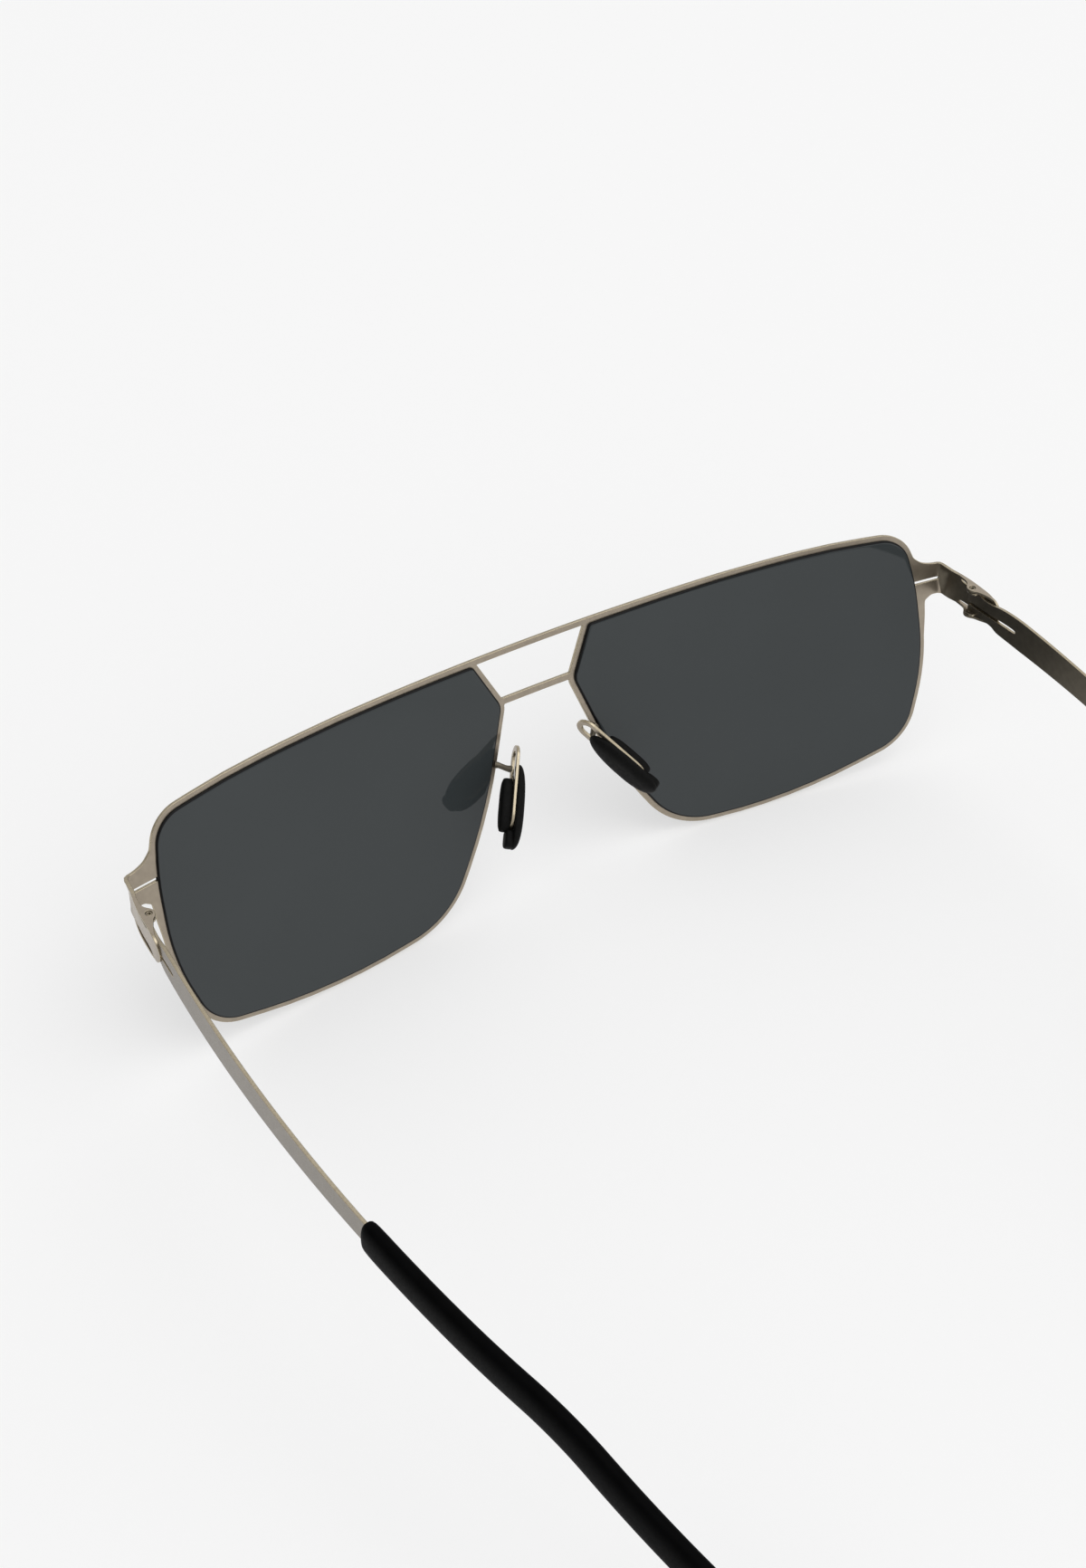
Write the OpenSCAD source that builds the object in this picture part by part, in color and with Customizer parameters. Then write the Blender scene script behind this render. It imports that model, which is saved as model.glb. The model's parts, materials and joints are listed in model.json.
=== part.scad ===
// Geometric sunglasses: a double-bridge front cut and bent from one thin sheet,
// grooved dark lenses, screwless clip hinges, clip-on silicone nose pads and
// flat temples with slip-on tips. Millimetres, +Z up, the front faces -Y,
// and the wearer's left is +X.

/* [Front sheet] */
// Thickness of the sheet metal of the front
sheet_t = 0.6; // [0.4:0.1:0.8]
// Width of the rim's face around each lens
rim_w = 1; // [0.8:0.1:1.6]
// Radius of the front's curve round the face
wrap_r = 313; // [220:1:600]
// Forward lean of the front's top, in degrees
front_tilt = 14; // [6:0.5:16]
// Width of each rim from its nose side to its outer side
rim_span = 60.7; // [56:0.1:63]
// Height of each rim
rim_rise = 42.3; // [38:0.2:44]
// Narrowest distance between the two rims
bridge_gap = 11.4; // [10:0.2:14]
// Height of the top bar
top_bar_h = 0.95; // [0.8:0.05:1.6]
// Height of the lower bridge bar
low_bar_h = 1.05; // [0.8:0.05:1.6]
// Clear height between the two bridge bars
bridge_open_h = 6.9; // [5:0.1:8]

/* [Lenses] */
// How far the lens stands out behind the rim
lens_proud_back = 0.4; // [0.2:0.1:1.2]
// How far the lens stands out before the rim
lens_proud_front = 0.5; // [0.3:0.1:1]
// How far the lens edge laps over the rim
lens_lap = 0.2; // [0.1:0.05:0.6]

/* [Hinges] */
// How far each hinge bend stands out beyond the rim
lug_reach = 4; // [2.5:0.1:6]
// Distance from the rim's top down to the lug's middle, along the front
lug_drop = 11.3; // [9:0.1:14]
// Height of the lug and of the hinge plate
lug_h = 5.3; // [4.6:0.1:6]
// Height of the slit through the lug
slit_h = 0.55; // [0.2:0.05:0.8]
// Distance from the bend back to the hinge axis
axis_back = 7.2; // [6:0.1:8]
// Radius of the collars that turn in the ears
pin_r = 0.45; // [0.35:0.05:0.5]
// Running clearance round the collars
pin_gap = 0.05; // [0.02:0.01:0.08]
// Thickness of the tongue and the ears of the hinge
ear_t = 0.4; // [0.3:0.05:0.5]

/* [Temples] */
// Thickness of the temple strip
temple_t = 0.55; // [0.4:0.05:0.8]
// Height of the temple strip behind the hinge
temple_h = 5.4; // [4.4:0.1:6]
// Height of the temple strip where the tip sleeve starts
temple_h_end = 3.9; // [3:0.1:4.4]
// Radius of the temple's bow, seen from above
bow_r = 273; // [220:1:400]
// Radius of the inward curve of the last part, seen from above
tip_bow_r = 177; // [140:1:300]
// Distance from the front's hinge bend to the ear bend
ear_bend_back = 95; // [85:1:105]
// Radius of the ear bend
ear_bend_r = 24; // [15:1:40]
// Slope of the temple behind the ear bend, in degrees
ear_drop = 31; // [26:1:40]
// Distance from the hinge bend to the start of the tip sleeve
sleeve_back = 67; // [60:1:75]
// Height of the tip sleeve
sleeve_h = 5.6; // [5:0.1:7]
// Thickness of the tip sleeve
sleeve_t = 2.5; // [1.8:0.1:3]

/* [Nose pads] */
// Length of the silicone pad
pad_len = 13; // [11:0.2:14]
// Width of the silicone pad
pad_w = 5.2; // [4.6:0.2:6.4]
// Thickness of the silicone pad on the nose side
pad_t = 1.4; // [1.2:0.1:2]
// Length of the metal loop that carries the pad
loop_len = 13; // [12:0.2:14]
// Width of the metal loop
loop_w = 4.2; // [4:0.1:4.8]
// Width of the loop's band
loop_band = 0.9; // [0.7:0.1:1.2]
// Thickness of the metal loop
loop_t = 0.5; // [0.4:0.1:0.7]

/* [Hidden] */
$fn = 48;
eps = 0.01;
metal = [0.60, 0.56, 0.50];
dark_lens = [0.20, 0.22, 0.22];
soft_black = [0.06, 0.06, 0.06];

// Clearance between parts that only touch on the real object
seat_gap = 0.04;

// Outside of the hinge bend, and the height of the lug's middle over the rim's foot
rim_x0 = bridge_gap / 2;
lug_x = rim_x0 + rim_span + lug_reach;
lug_v = rim_rise - lug_drop;

// Long enough to cut through the whole front
cut_len = 1.5 * rim_rise;

// Rim outline, clockwise from the bridge. Each corner is
// [share of the span, share of the rise, share of the shorter half edge that is rounded].
rim_corners = [
    [0.063, 0.997, 0.10], [0.445, 1.001, 0.96], [0.761, 0.987, 0.97], [0.967, 0.953, 0.98],
    [0.998, 0.754, 0.97], [1.007, 0.415, 0.92], [0.938, 0.092, 0.72], [0.690, 0.011, 0.97],
    [0.478, -0.006, 0.97], [0.238, 0.033, 0.94], [0.087, 0.393, 0.98], [-0.004, 0.792, 0.28]
];
rim_v = [for (c = rim_corners) [rim_x0 + c[0] * rim_span, c[1] * rim_rise]];

function unit(a) = a / norm(a);
function turn_left(a) = [-a[1], a[0]];
function cross2(a, b) = a[0] * b[1] - a[1] * b[0];
function meet(p, d, q, e) = p + d * cross2(q - p, e) / cross2(d, e);

// The outline runs clockwise, so the inward side of each edge is on its right.
function edge_dir(v, i) = unit(v[(i + 1) % len(v)] - v[i]);
function edge_in(v, i, inset) = v[i] - turn_left(edge_dir(v, i)) * inset;
function inset_corner(v, i, inset) =
    let (j = (i + len(v) - 1) % len(v))
    meet(edge_in(v, j, inset), edge_dir(v, j), edge_in(v, i, inset), edge_dir(v, i));

// Half the angle between the two edges that meet at a corner
function half_angle(a, b, c) = acos(unit(a - b) * unit(c - b)) / 2;
function fillet(a, b, c, r) =
    let (d1 = unit(a - b), d2 = unit(c - b), half = half_angle(a, b, c))
    let (o = b + unit(d1 + d2) * r / sin(half), s = b + d1 * r / tan(half) - o)
    let (sweep = (180 - 2 * half) * sign(cross2(d2, d1)), n = max(2, ceil(abs(sweep) / fillet_step)))
    [for (k = [0:n]) let (t = sweep * k / n)
        o + [s[0] * cos(t) - s[1] * sin(t), s[0] * sin(t) + s[1] * cos(t)]];
fillet_step = 8;

function rounded(v, r) =
    let (n = len(v))
    [for (i = [0:n - 1]) each fillet(v[(i + n - 1) % n], v[i], v[(i + 1) % n], r[i])];

rim_r = let (n = len(rim_v)) [for (i = [0:n - 1])
    let (a = rim_v[(i + n - 1) % n], b = rim_v[i], c = rim_v[(i + 1) % n])
    rim_corners[i][2] * min(norm(b - a), norm(c - b)) / 2 * tan(half_angle(a, b, c))];

function rim_path(inset) =
    rounded([for (i = [0:len(rim_v) - 1]) inset_corner(rim_v, i, inset)],
        [for (r = rim_r) max(r - inset, 0.3)]);

rim_outer = rim_path(0);
lens_opening = rim_path(rim_w);
lens_edge = rim_path(rim_w - lens_lap);
lens_root = rim_path(rim_w + seat_gap);

// Depth of a shell of radius r behind the middle of the sheet's back face
function depth(x, r = wrap_r) = wrap_r - sqrt(r * r - x * x);
sheet_front_r = wrap_r + sheet_t;
lens_front_r = sheet_front_r + lens_proud_front;
lens_back_r = wrap_r - lens_proud_back;

// The rims stand on the ground, so the front is lifted by its lowest point.
function row_z(p, r) = p[1] * cos(front_tilt) + depth(p[0], r) * sin(front_tilt);
function row_y(p, r) = depth(p[0], r) * cos(front_tilt) - p[1] * sin(front_tilt);
lift = -min([for (p = rim_outer) min(row_z(p, wrap_r), row_z(p, sheet_front_r))]);

// Hinge base: the middle of the bend, in the frame of the standing glasses
base_y = row_y([lug_x, lug_v], wrap_r);
base_z = row_z([lug_x, lug_v], wrap_r) + lift;

// Temple, seen from above: the outer face is an arc, then a tighter arc
widest_back = 29.4;
bow_out = 1.24;
widest_x = lug_x + bow_out;
tighter_back = 85;
bow_drop = bow_r - sqrt(pow(bow_r, 2) - pow(widest_back - axis_back, 2));
pin_inset = 0.3;
pin_x = lug_x - pin_inset;
// Small enough to turn inside the tongue
tab_r = widest_x - bow_drop - pin_x - seat_gap * 0.75;
arm_front = axis_back - tab_r;

// Hinge. The tongue keeps a small distance from the temple's outer face.
bend_r = 0.9;
plate_lean = 0.12;
plate_out = lug_x + plate_lean;
plate_flare = 0.25;
plate_end = 3.2;
ear_top = lug_h / 2;
ear_low = ear_top - ear_t;
arm_top = ear_low - seat_gap;
tab_t = 0.35;
tab_r_in = 0.75;
collar_wall = 0.2;
collar_recess = 0.08;

// Slit through the lug: its middle over the lug's middle, and the metal left at its end
slit_up = 0.1;
slit_bridge = 0.1;

// Tongue, seen from the side as [back from the bend, height over the base]. It is a
// neck between the ears that ends in a rounded paddle beside the temple.
neck_start = 4.4;
neck_top = 1.65;
neck_low = -1.75;
paddle_top = [[8.7, neck_top], [9.2, 2.05], [9.9, 2.32], [10.8, 2.45], [11.8, 2.2], [12.5, 1.6]];
paddle_tip = [[12.95, 0.6], [13.05, -0.2], [12.75, -1.2]];
paddle_low = [[12.1, -1.95], [11.4, -2.3], [10.6, -2.1], [9.9, -1.6], [9, -1.4], [6.8, neck_low]];
tongue_end = max([for (p = paddle_tip) p[0]]);

// Fork at the front end of the temple, as [back from the bend, height over the base]
full_height_back = 18.4;
arm_over = [[8.2, arm_top], [9.2, 1.9], [10.3, 1.75], [11.7, 1.84], [12.7, 2.12], [14, 2.38], [16, 2.6]];
arm_under = [[8.4, -arm_top], [9.8, -2.12], [11.6, -2.06], [12.3, -2.2], [12.9, -2.5], [13.8, -2.64], [16, -2.68]];
slot_over = [[7.4, -0.3], [9.2, -0.28], [13, 0.02], [15.5, 0.24], [17, 0.28], [17.3, 0.05]];
slot_under = [[17, -0.32], [15.5, -0.4], [13.2, -0.55], [9.2, -0.86], [7.4, -0.86]];
tighter_turn = asin((tighter_back - widest_back) / bow_r);
function bow_x(y, inner) = y <= tighter_back
    ? widest_x - bow_r + sqrt(pow(bow_r - inner, 2) - pow(y - widest_back, 2))
    : let (ox = widest_x - bow_r + (bow_r - tip_bow_r) * cos(tighter_turn),
           oy = widest_back + (bow_r - tip_bow_r) * sin(tighter_turn))
      ox + sqrt(pow(tip_bow_r - inner, 2) - pow(y - oy, 2));

// Temple, seen from the side: [back from the bend, height over the base, slope]
sag = 0.00045;
sag_from = 10;
bend_slope = atan(2 * sag * (ear_bend_back - sag_from));
bend_z = -sag * pow(ear_bend_back - sag_from, 2);
drop_back = ear_bend_back + ear_bend_r * (sin(ear_drop) - sin(bend_slope));
drop_z = bend_z - ear_bend_r * (cos(bend_slope) - cos(ear_drop));
tip_z = sleeve_h / 2 - base_z;
temple_h_tip = 2.4;
tip_run = (drop_z - tip_z) / tan(ear_drop);
tip_back = drop_back + tip_run;
function axis_front(y0) = [for (k = [0:11])
    let (y = y0 + (ear_bend_back - y0) * k / 12)
    [y, -sag * pow(max(y - sag_from, 0), 2), atan(2 * sag * max(y - sag_from, 0))]];
axis_bend = [for (k = [0:6])
    let (a = bend_slope + (ear_drop - bend_slope) * k / 6)
    [ear_bend_back + ear_bend_r * (sin(a) - sin(bend_slope)),
     bend_z - ear_bend_r * (cos(bend_slope) - cos(a)), a]];
function axis_drop(share) = [for (k = [1:8]) let (t = share * k / 8)
    [drop_back + tip_run * t, drop_z + (tip_z - drop_z) * t, ear_drop]];
function strip_h(y) = y < sleeve_back
    ? temple_h + (temple_h_end - temple_h) * (y - full_height_back) / (sleeve_back - full_height_back)
    : temple_h_end + (temple_h_tip - temple_h_end) * (y - sleeve_back) / (tip_back - sleeve_back);
function side_edge(pts, up, extra) = [for (p = pts)
    let (h = (strip_h(p[0]) / 2 + extra) * up)
    [p[0] + h * sin(p[2]), p[1] + h * cos(p[2])]];

// Sleeve rings: the outline of the cross-section is a rounded oblong
sleeve_sides = 14;
sleeve_round = 1.9;
start_len = 3.2;
core_gap = 0.08;

// Nose pad: middle of the loop in the front's frame, and how it is turned
pad_mid = [bridge_gap / 2 + 3.1, 5.0, lug_v - 9.1];
pad_turn = [-24.5, -37.0, 82.9];
loop_up = 6.9;
block_w = 2.9;
block_len = 8.2;
block_top = 1.7;
block_t = 1.5;
block_round = 0.9;
neck_w = loop_w - 2 * loop_band - 0.2;
pad_up = 4;
arm_w = 0.9;
arm_len = 2.4;
arm_lean = 0.6;
arm_drop = 3.4;

// The middle of the whole length lies over the origin
tip_reach = base_y + tip_back + sleeve_h / 2;
front_reach = min([for (p = lens_edge) row_y(p, lens_front_r)]);
row_shift = -(tip_reach + front_reach) / 2;

module on_side(side) {
    mirror([side < 0 ? 1 : 0, 0, 0])
        children();
}

module in_front() {
    translate([0, row_shift, lift])
        rotate([front_tilt, 0, 0])
            children();
}

module at_hinge() {
    translate([0, base_y + row_shift, base_z])
        children();
}

// A flat outline in X and Z, pushed through the depth of the front
module through() {
    translate([0, cut_len / 2, 0])
        rotate([90, 0, 0])
            linear_extrude(cut_len)
                children();
}

module shell(r_in, r_out) {
    translate([0, wrap_r, (rim_rise - cut_len) / 2])
        difference() {
            cylinder(r = r_out, h = cut_len, $fn = 720);
            translate([0, 0, -1])
                cylinder(r = r_in, h = cut_len + 2, $fn = 720);
        }
}

module bridge_outline() {
    top_v = rim_rise;
    low_top = top_v - top_bar_h - bridge_open_h;
    reach = rim_v[0][0] + 1.5;
    low_reach = rim_v[11][0] + rim_w * 0.6;
    polygon([[-reach, top_v - top_bar_h], [-reach, top_v], [reach, top_v], [reach, top_v - top_bar_h]]);
    polygon([[-low_reach, low_top - low_bar_h], [-low_reach, low_top],
        [low_reach, low_top], [low_reach, low_top - low_bar_h]]);
}

// Lug outline from the rim out to the bend, with the concave sweeps above and below it.
// Each sweep is a list of [share of its length along the lug, share of its height].
sweep_up = [[-0.05, 1], [0.04, 0.71], [0.13, 0.5], [0.26, 0.33], [0.45, 0.19], [0.68, 0.085], [0.95, 0.02]];
sweep_down = [[1, -0.08], [0.79, -0.05], [0.62, 0.05], [0.52, 0.24], [0.43, 0.45], [0.34, 0.71], [0, 1]];
sweep_up_size = [3.8, 2.6];
sweep_down_size = [2.9, 1.9];

module lug_outline() {
    in_x = rim_x0 + rim_span - 0.7 * rim_w;
    out_x = lug_x - bend_r + eps;
    up = lug_v + lug_h / 2;
    down = lug_v - lug_h / 2;
    polygon(concat(
        [for (p = sweep_up) [in_x + p[0] * sweep_up_size[0], up + p[1] * sweep_up_size[1]]],
        [[out_x, up], [out_x, down]],
        [for (p = sweep_down) [in_x + p[0] * sweep_down_size[0], down - p[1] * sweep_down_size[1]]]
    ));
}

// The sheet turns back through a quarter of a tube at the end of the lug
module lug_bend() {
    x0 = lug_x - bend_r;
    d0 = depth(x0, sheet_front_r);
    translate([x0, d0 + bend_r, lug_v - lug_h / 2])
        intersection() {
            difference() {
                cylinder(r = bend_r, h = lug_h);
                translate([0, 0, -1])
                    cylinder(r = bend_r - sheet_t, h = lug_h + 2);
            }
            translate([-eps, -bend_r - eps, 0])
                cube([bend_r + 2 * eps, bend_r + 2 * eps, lug_h]);
        }
}

// Plan of the hinge plate and of the tongue that runs outside the temple
module tongue_plan() {
    steps = 8;
    from = axis_back - tab_r - 0.3;
    ys = [for (k = [0:steps]) from + (tongue_end - 1.3 - from) * k / steps];
    polygon(concat(
        [[lug_x - sheet_t, -0.5], [lug_x, -0.5], [plate_out, 1], [plate_out + plate_flare, plate_end]],
        [for (y = ys) [bow_x(y, -seat_gap - ear_t), y]],
        [[bow_x(tongue_end, -seat_gap - ear_t * 0.6), tongue_end + eps],
            [bow_x(tongue_end, -seat_gap), tongue_end + eps]],
        [for (k = [steps:-1:0]) [bow_x(ys[k], -seat_gap), ys[k]]],
        [[plate_out + plate_flare - sheet_t, plate_end + 0.25], [lug_x - sheet_t, 1]]
    ));
}

module tongue_side() {
    lean = lug_h / 2 * tan(front_tilt);
    polygon(concat(
        [[-0.45 - lean, ear_top], [neck_start - 0.5, ear_top], [neck_start, neck_top]],
        paddle_top, paddle_tip, paddle_low,
        [[neck_start, neck_low], [neck_start - 0.5, -ear_top], [-0.45 + lean, -ear_top]]
    ));
}

module plate_and_tongue() {
    intersection() {
        translate([0, 0, -lug_h])
            linear_extrude(2 * lug_h)
                tongue_plan();
        rotate([90, 0, 90])
            linear_extrude(lug_x + 10)
                tongue_side();
    }
}

// Ear: a finger of the plate, turned flat over the temple's fork and joined to the
// paddle's edge at its tail, with the bore for the collar. The points are offsets
// from the hinge axis.
ear_outer = [[0.75, -3.8], [0.98, -2.4], [1.12, -1.2], [1.2, 0.2], [1.28, 2.1], [1.3, 3.2], [1.25, 4.1]];
ear_inner = [[0.95, 4.1], [0.65, 3], [0.3, 2.2], [-0.1, 1.3], [-0.55, 0.8], [-0.8, 0.35],
    [-0.86, -0.1], [-0.7, -0.6], [-0.25, -1.05], [0.15, -1.5], [0.3, -2.2], [0.2, -3.8]];

module ear(top) {
    translate([pin_x, axis_back, top ? ear_low : -ear_top])
        difference() {
            linear_extrude(ear_t)
                polygon(concat([[0.4, -5.4]], ear_outer, ear_inner));
            translate([0, 0, -1])
                cylinder(r = pin_r + pin_gap, h = ear_t + 2);
        }
}

// The slit that leaves the lens opening through the lug
module lug_slit() {
    from = rim_x0 + rim_span - 2.5 * rim_w;
    translate([from, -cut_len / 2, lug_v + slit_up - slit_h / 2])
        cube([lug_x - bend_r - slit_bridge - from, cut_len, slit_h]);
}

// The cut sheet: rims, bars and lugs, with the lens openings and the slits
module front_blank() {
    intersection() {
        shell(wrap_r, sheet_front_r);
        difference() {
            union() {
                for (side = [-1, 1])
                    on_side(side) {
                        through()
                            polygon(rim_outer);
                        through()
                            lug_outline();
                    }
                through()
                    bridge_outline();
            }
            for (side = [-1, 1])
                on_side(side) {
                    through()
                        polygon(lens_opening);
                    lug_slit();
                }
        }
    }
}

module front_frame() {
    color(metal) {
        in_front()
            front_blank();
        for (side = [-1, 1])
            on_side(side) {
                in_front()
                    lug_bend();
                at_hinge() {
                    plate_and_tongue();
                    ear(true);
                    ear(false);
                }
            }
    }
}

module lens_layer(outline, r_in, r_out) {
    intersection() {
        through()
            polygon(outline);
        shell(r_in, r_out);
    }
}

// The rim sits in the groove between the lens's front lip and its back lip
module lens(side) {
    color(dark_lens)
        on_side(side)
            in_front() {
                lens_layer(lens_edge, lens_back_r, wrap_r - seat_gap);
                lens_layer(lens_root, lens_back_r + eps, lens_front_r - eps);
                lens_layer(lens_edge, sheet_front_r + seat_gap, lens_front_r);
            }
}

module on_pad(side) {
    on_side(side)
        in_front()
            translate(pad_mid)
                rotate(pad_turn)
                    children();
}

// Seen square on, the loop stands along Z, its width runs along X and +Y faces the nose.
module loop_plate() {
    low = loop_up - loop_len;
    rotate([90, 0, 0])
        translate([0, 0, -loop_t / 2])
            linear_extrude(loop_t)
                difference() {
                    oblong(loop_w, low, loop_up);
                    oblong(loop_w - 2 * loop_band, low + loop_band, loop_up - loop_band);
                }
}

module oblong(w, low, high) {
    translate([0, high - w / 2])
        circle(d = w);
    translate([0, low + w / 2])
        circle(d = w);
    translate([-w / 2, low + w / 2])
        square([w, high - low - w]);
}

// The arm runs from the rim's back face to the lens side of the loop. Its foot
// is notched round the lens edge.
module pad_arm(side) {
    color(metal)
        difference() {
            on_pad(side) {
                loop_plate();
                translate([-loop_w / 2, -loop_t / 2, loop_up - arm_drop])
                    linear_extrude(arm_w)
                        polygon([[0, eps], [arm_w, eps], [arm_w - arm_lean, -arm_len], [-arm_lean, -arm_len]]);
            }
            on_side(side)
                in_front()
                    lens_layer(rim_path(rim_w - lens_lap - seat_gap), lens_back_r - seat_gap, wrap_r);
        }
}

// Silicone pad: the body on the nose side, the block on the lens side and the
// neck through the loop that joins them are one piece.
module nose_pad(side) {
    low = pad_up - pad_len;
    face = loop_t / 2 + seat_gap;
    opening_low = loop_up - loop_len + loop_band;
    color(soft_black)
        on_pad(side) {
            hull() {
                disc(pad_w * 0.3, face, pad_up - pad_w * 0.3, pad_t * 0.4);
                disc(pad_w / 2, face, pad_up - pad_w * 0.8, pad_t * 0.55);
                disc(pad_w / 2 - 0.2, face, low + pad_w * 0.85, pad_t * 0.55);
                disc(pad_w * 0.3, face, low + pad_w * 0.3, pad_t * 0.4);
                disc(pad_w / 2 - 1.2, face, pad_up - pad_w * 0.88, pad_t);
                disc(pad_w / 2 - 1.4, face, low + pad_w, pad_t);
            }
            translate([-neck_w / 2, -face - eps, opening_low + neck_w * 0.4])
                cube([neck_w, 2 * (face + eps), block_top - 0.6 - opening_low - neck_w * 0.4]);
            hull() {
                for (z = [block_top - block_len + block_round, block_top - block_round])
                    for (x = [-1, 1])
                        translate([x * (block_w / 2 - block_round), -face, z])
                            rotate([90, 0, 0])
                                cylinder(r1 = block_round, r2 = block_round - 0.35, h = block_t, $fn = 20);
            }
            hull() {
                translate([0, face + pad_t * 0.2, opening_low - loop_band - 1.5])
                    rotate([90, 0, 0])
                        cylinder(r = pad_w * 0.22, h = face + pad_t * 0.2 + 0.7, $fn = 20);
                translate([-pad_w * 0.3, 0, opening_low - loop_band - seat_gap - 0.6])
                    cube([pad_w * 0.6, face + pad_t * 0.2, 0.6]);
            }
        }
}

module disc(r, y, z, h) {
    translate([0, y, z])
        rotate([-90, 0, 0])
            cylinder(r = r, h = h, $fn = 28);
}

// Fork arms: the strip narrows between the ears and is split by a slot.
module temple_side() {
    pts = concat(axis_front(full_height_back), axis_bend, axis_drop(0.93));
    top = side_edge(pts, 1, 0);
    low = side_edge(pts, -1, 0);
    difference() {
        polygon(concat(
            [[arm_front, arm_top]], arm_over, top,
            [for (k = [len(low) - 1:-1:0]) low[k]],
            [for (k = [len(arm_under) - 1:-1:0]) arm_under[k]],
            [[arm_front, -arm_top]]
        ));
        polygon(concat([[arm_front - 1, slot_over[0][1]]], slot_over, slot_under,
            [[arm_front - 1, slot_under[4][1]]]));
    }
}

module strip_plan(t_out, t_in, y0, y1) {
    n = 60;
    polygon(concat(
        [for (k = [0:n]) let (y = y0 + (y1 - y0) * k / n) [bow_x(y, t_out), y]],
        [for (k = [n:-1:0]) let (y = y0 + (y1 - y0) * k / n) [bow_x(y, t_in), y]]
    ));
}

// Keeps the fork's front end inside the circle in which it turns
module fork_end_trim() {
    translate([pin_x, axis_back, -10])
        difference() {
            translate([-3, -3, 0])
                cube([6, 3, 20]);
            cylinder(r = tab_r, h = 20);
        }
}

// Tab bent inward from a fork arm. Its collar is drawn up into the ear's bore.
module tab() {
    low = arm_top - tab_t;
    translate([pin_x, axis_back, 0])
        difference() {
            union() {
                translate([0, 0, low])
                    linear_extrude(tab_t - seat_gap)
                        tab_plan();
                translate([0, 0, low])
                    cylinder(r = pin_r, h = ear_top - collar_recess - low);
            }
            cylinder(r = pin_r - collar_wall, h = ear_top + 1);
        }
}

// The tab's front stays inside the circle in which the fork turns.
module tab_plan() {
    r = tab_r - 0.03;
    polygon(concat(
        [for (a = [0:-15:-150]) [r * cos(a), r * sin(a)]],
        [[-tab_r_in + 0.05, -tab_r / 2], [-tab_r_in, 0.2], [-tab_r_in + 0.1, 0.8],
            [-tab_r_in + 0.4, 1.2], [r - 0.1, 1.3]]
    ));
}

module temple(side) {
    color(metal)
        on_side(side)
            at_hinge() {
                difference() {
                    intersection() {
                        translate([0, 0, -50])
                            linear_extrude(100)
                                strip_plan(0, temple_t, 0, tip_back);
                        rotate([90, 0, 90])
                            linear_extrude(120)
                                temple_side();
                    }
                    fork_end_trim();
                    translate([pin_x, axis_back, -ear_top - 1])
                        cylinder(r = pin_r - collar_wall, h = 2 * ear_top + 2);
                }
                tab();
                mirror([0, 0, 1])
                    tab();
            }
}

// Sleeve stations: [back, height, slope, share of the full section]
sleeve_pts = concat(
    [for (k = [0:4]) let (q = start_len * (1 - cos(k * 22.5)) , y = sleeve_back + q)
        [y, -sag * pow(y - sag_from, 2), atan(2 * sag * (y - sag_from)), 0.62 + 0.38 * sin(k * 22.5)]],
    [for (p = axis_front(sleeve_back + start_len + 1)) [p[0], p[1], p[2], 1]],
    [for (p = axis_bend) [p[0], p[1], p[2], 1]],
    [for (p = axis_drop(1)) [p[0], p[1], p[2], 1]],
    [for (k = [1:5]) let (q = sleeve_h / 2 * sin(k * 17.4))
        [tip_back + q * cos(ear_drop), tip_z - q * sin(ear_drop), ear_drop, cos(k * 17.4)]]
);

function oblong_pt(a, w, h) =
    let (c = cos(a), s = sin(a), e = 2 / (sleeve_round + 0.9))
    [sign(c) * pow(abs(c), e) * w, sign(s) * pow(abs(s), e) * h];

function sleeve_ring(p) = [for (k = [0:sleeve_sides - 1])
    let (q = oblong_pt(360 * (k + 0.5) / sleeve_sides, sleeve_t / 2 * (0.35 + 0.65 * p[3]), sleeve_h / 2 * p[3]))
    let (x = bow_x(p[0], temple_t / 2), turn = atan((bow_x(p[0] + 0.5, temple_t / 2) - x) / 0.5))
    [x + q[0] * cos(turn), p[0] + q[1] * sin(p[2]) - q[0] * sin(turn), p[1] + q[1] * cos(p[2])]];

module sleeve_body() {
    rings = [for (p = sleeve_pts) sleeve_ring(p)];
    n = sleeve_sides;
    m = len(rings);
    faces = concat(
        [[for (k = [n - 1:-1:0]) k]],
        [for (j = [0:m - 2]) for (k = [0:n - 1]) each [
            [j * n + k, (j + 1) * n + (k + 1) % n, (j + 1) * n + k],
            [j * n + k, j * n + (k + 1) % n, (j + 1) * n + (k + 1) % n]]],
        [[for (k = [0:n - 1]) (m - 1) * n + k]]
    );
    polyhedron(points = [for (r = rings) each r], faces = faces, convexity = 8);
}

module core_space() {
    pts = concat(axis_front(sleeve_back - 2), axis_bend, axis_drop(0.95));
    top = side_edge(pts, 1, core_gap);
    low = side_edge(pts, -1, core_gap);
    intersection() {
        translate([0, 0, -50])
            linear_extrude(100)
                strip_plan(-core_gap, temple_t + core_gap, 0, tip_back);
        rotate([90, 0, 90])
            linear_extrude(120)
                polygon(concat(top, [for (k = [len(low) - 1:-1:0]) low[k]]));
    }
}

module temple_tip(side) {
    color(soft_black)
        on_side(side)
            at_hinge()
                difference() {
                    sleeve_body();
                    core_space();
                }
}

front_frame();
lens(1);  // lens_left
lens(-1);  // lens_right
pad_arm(1);  // pad_arm_left
pad_arm(-1);  // pad_arm_right
nose_pad(1);  // nose_pad_left
nose_pad(-1);  // nose_pad_right
temple(1);  // temple_left
temple(-1);  // temple_right
temple_tip(1);  // temple_tip_left
temple_tip(-1);  // temple_tip_right
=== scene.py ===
"""Geometric sunglasses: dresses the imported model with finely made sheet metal, lenses, pads and tips.

Lengths inside the builders are millimetres in the row's frame: +Z up, the lenses face -Y and the
wearer's left is +X. They become metres when a mesh is made.
"""
import json
import math

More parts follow.
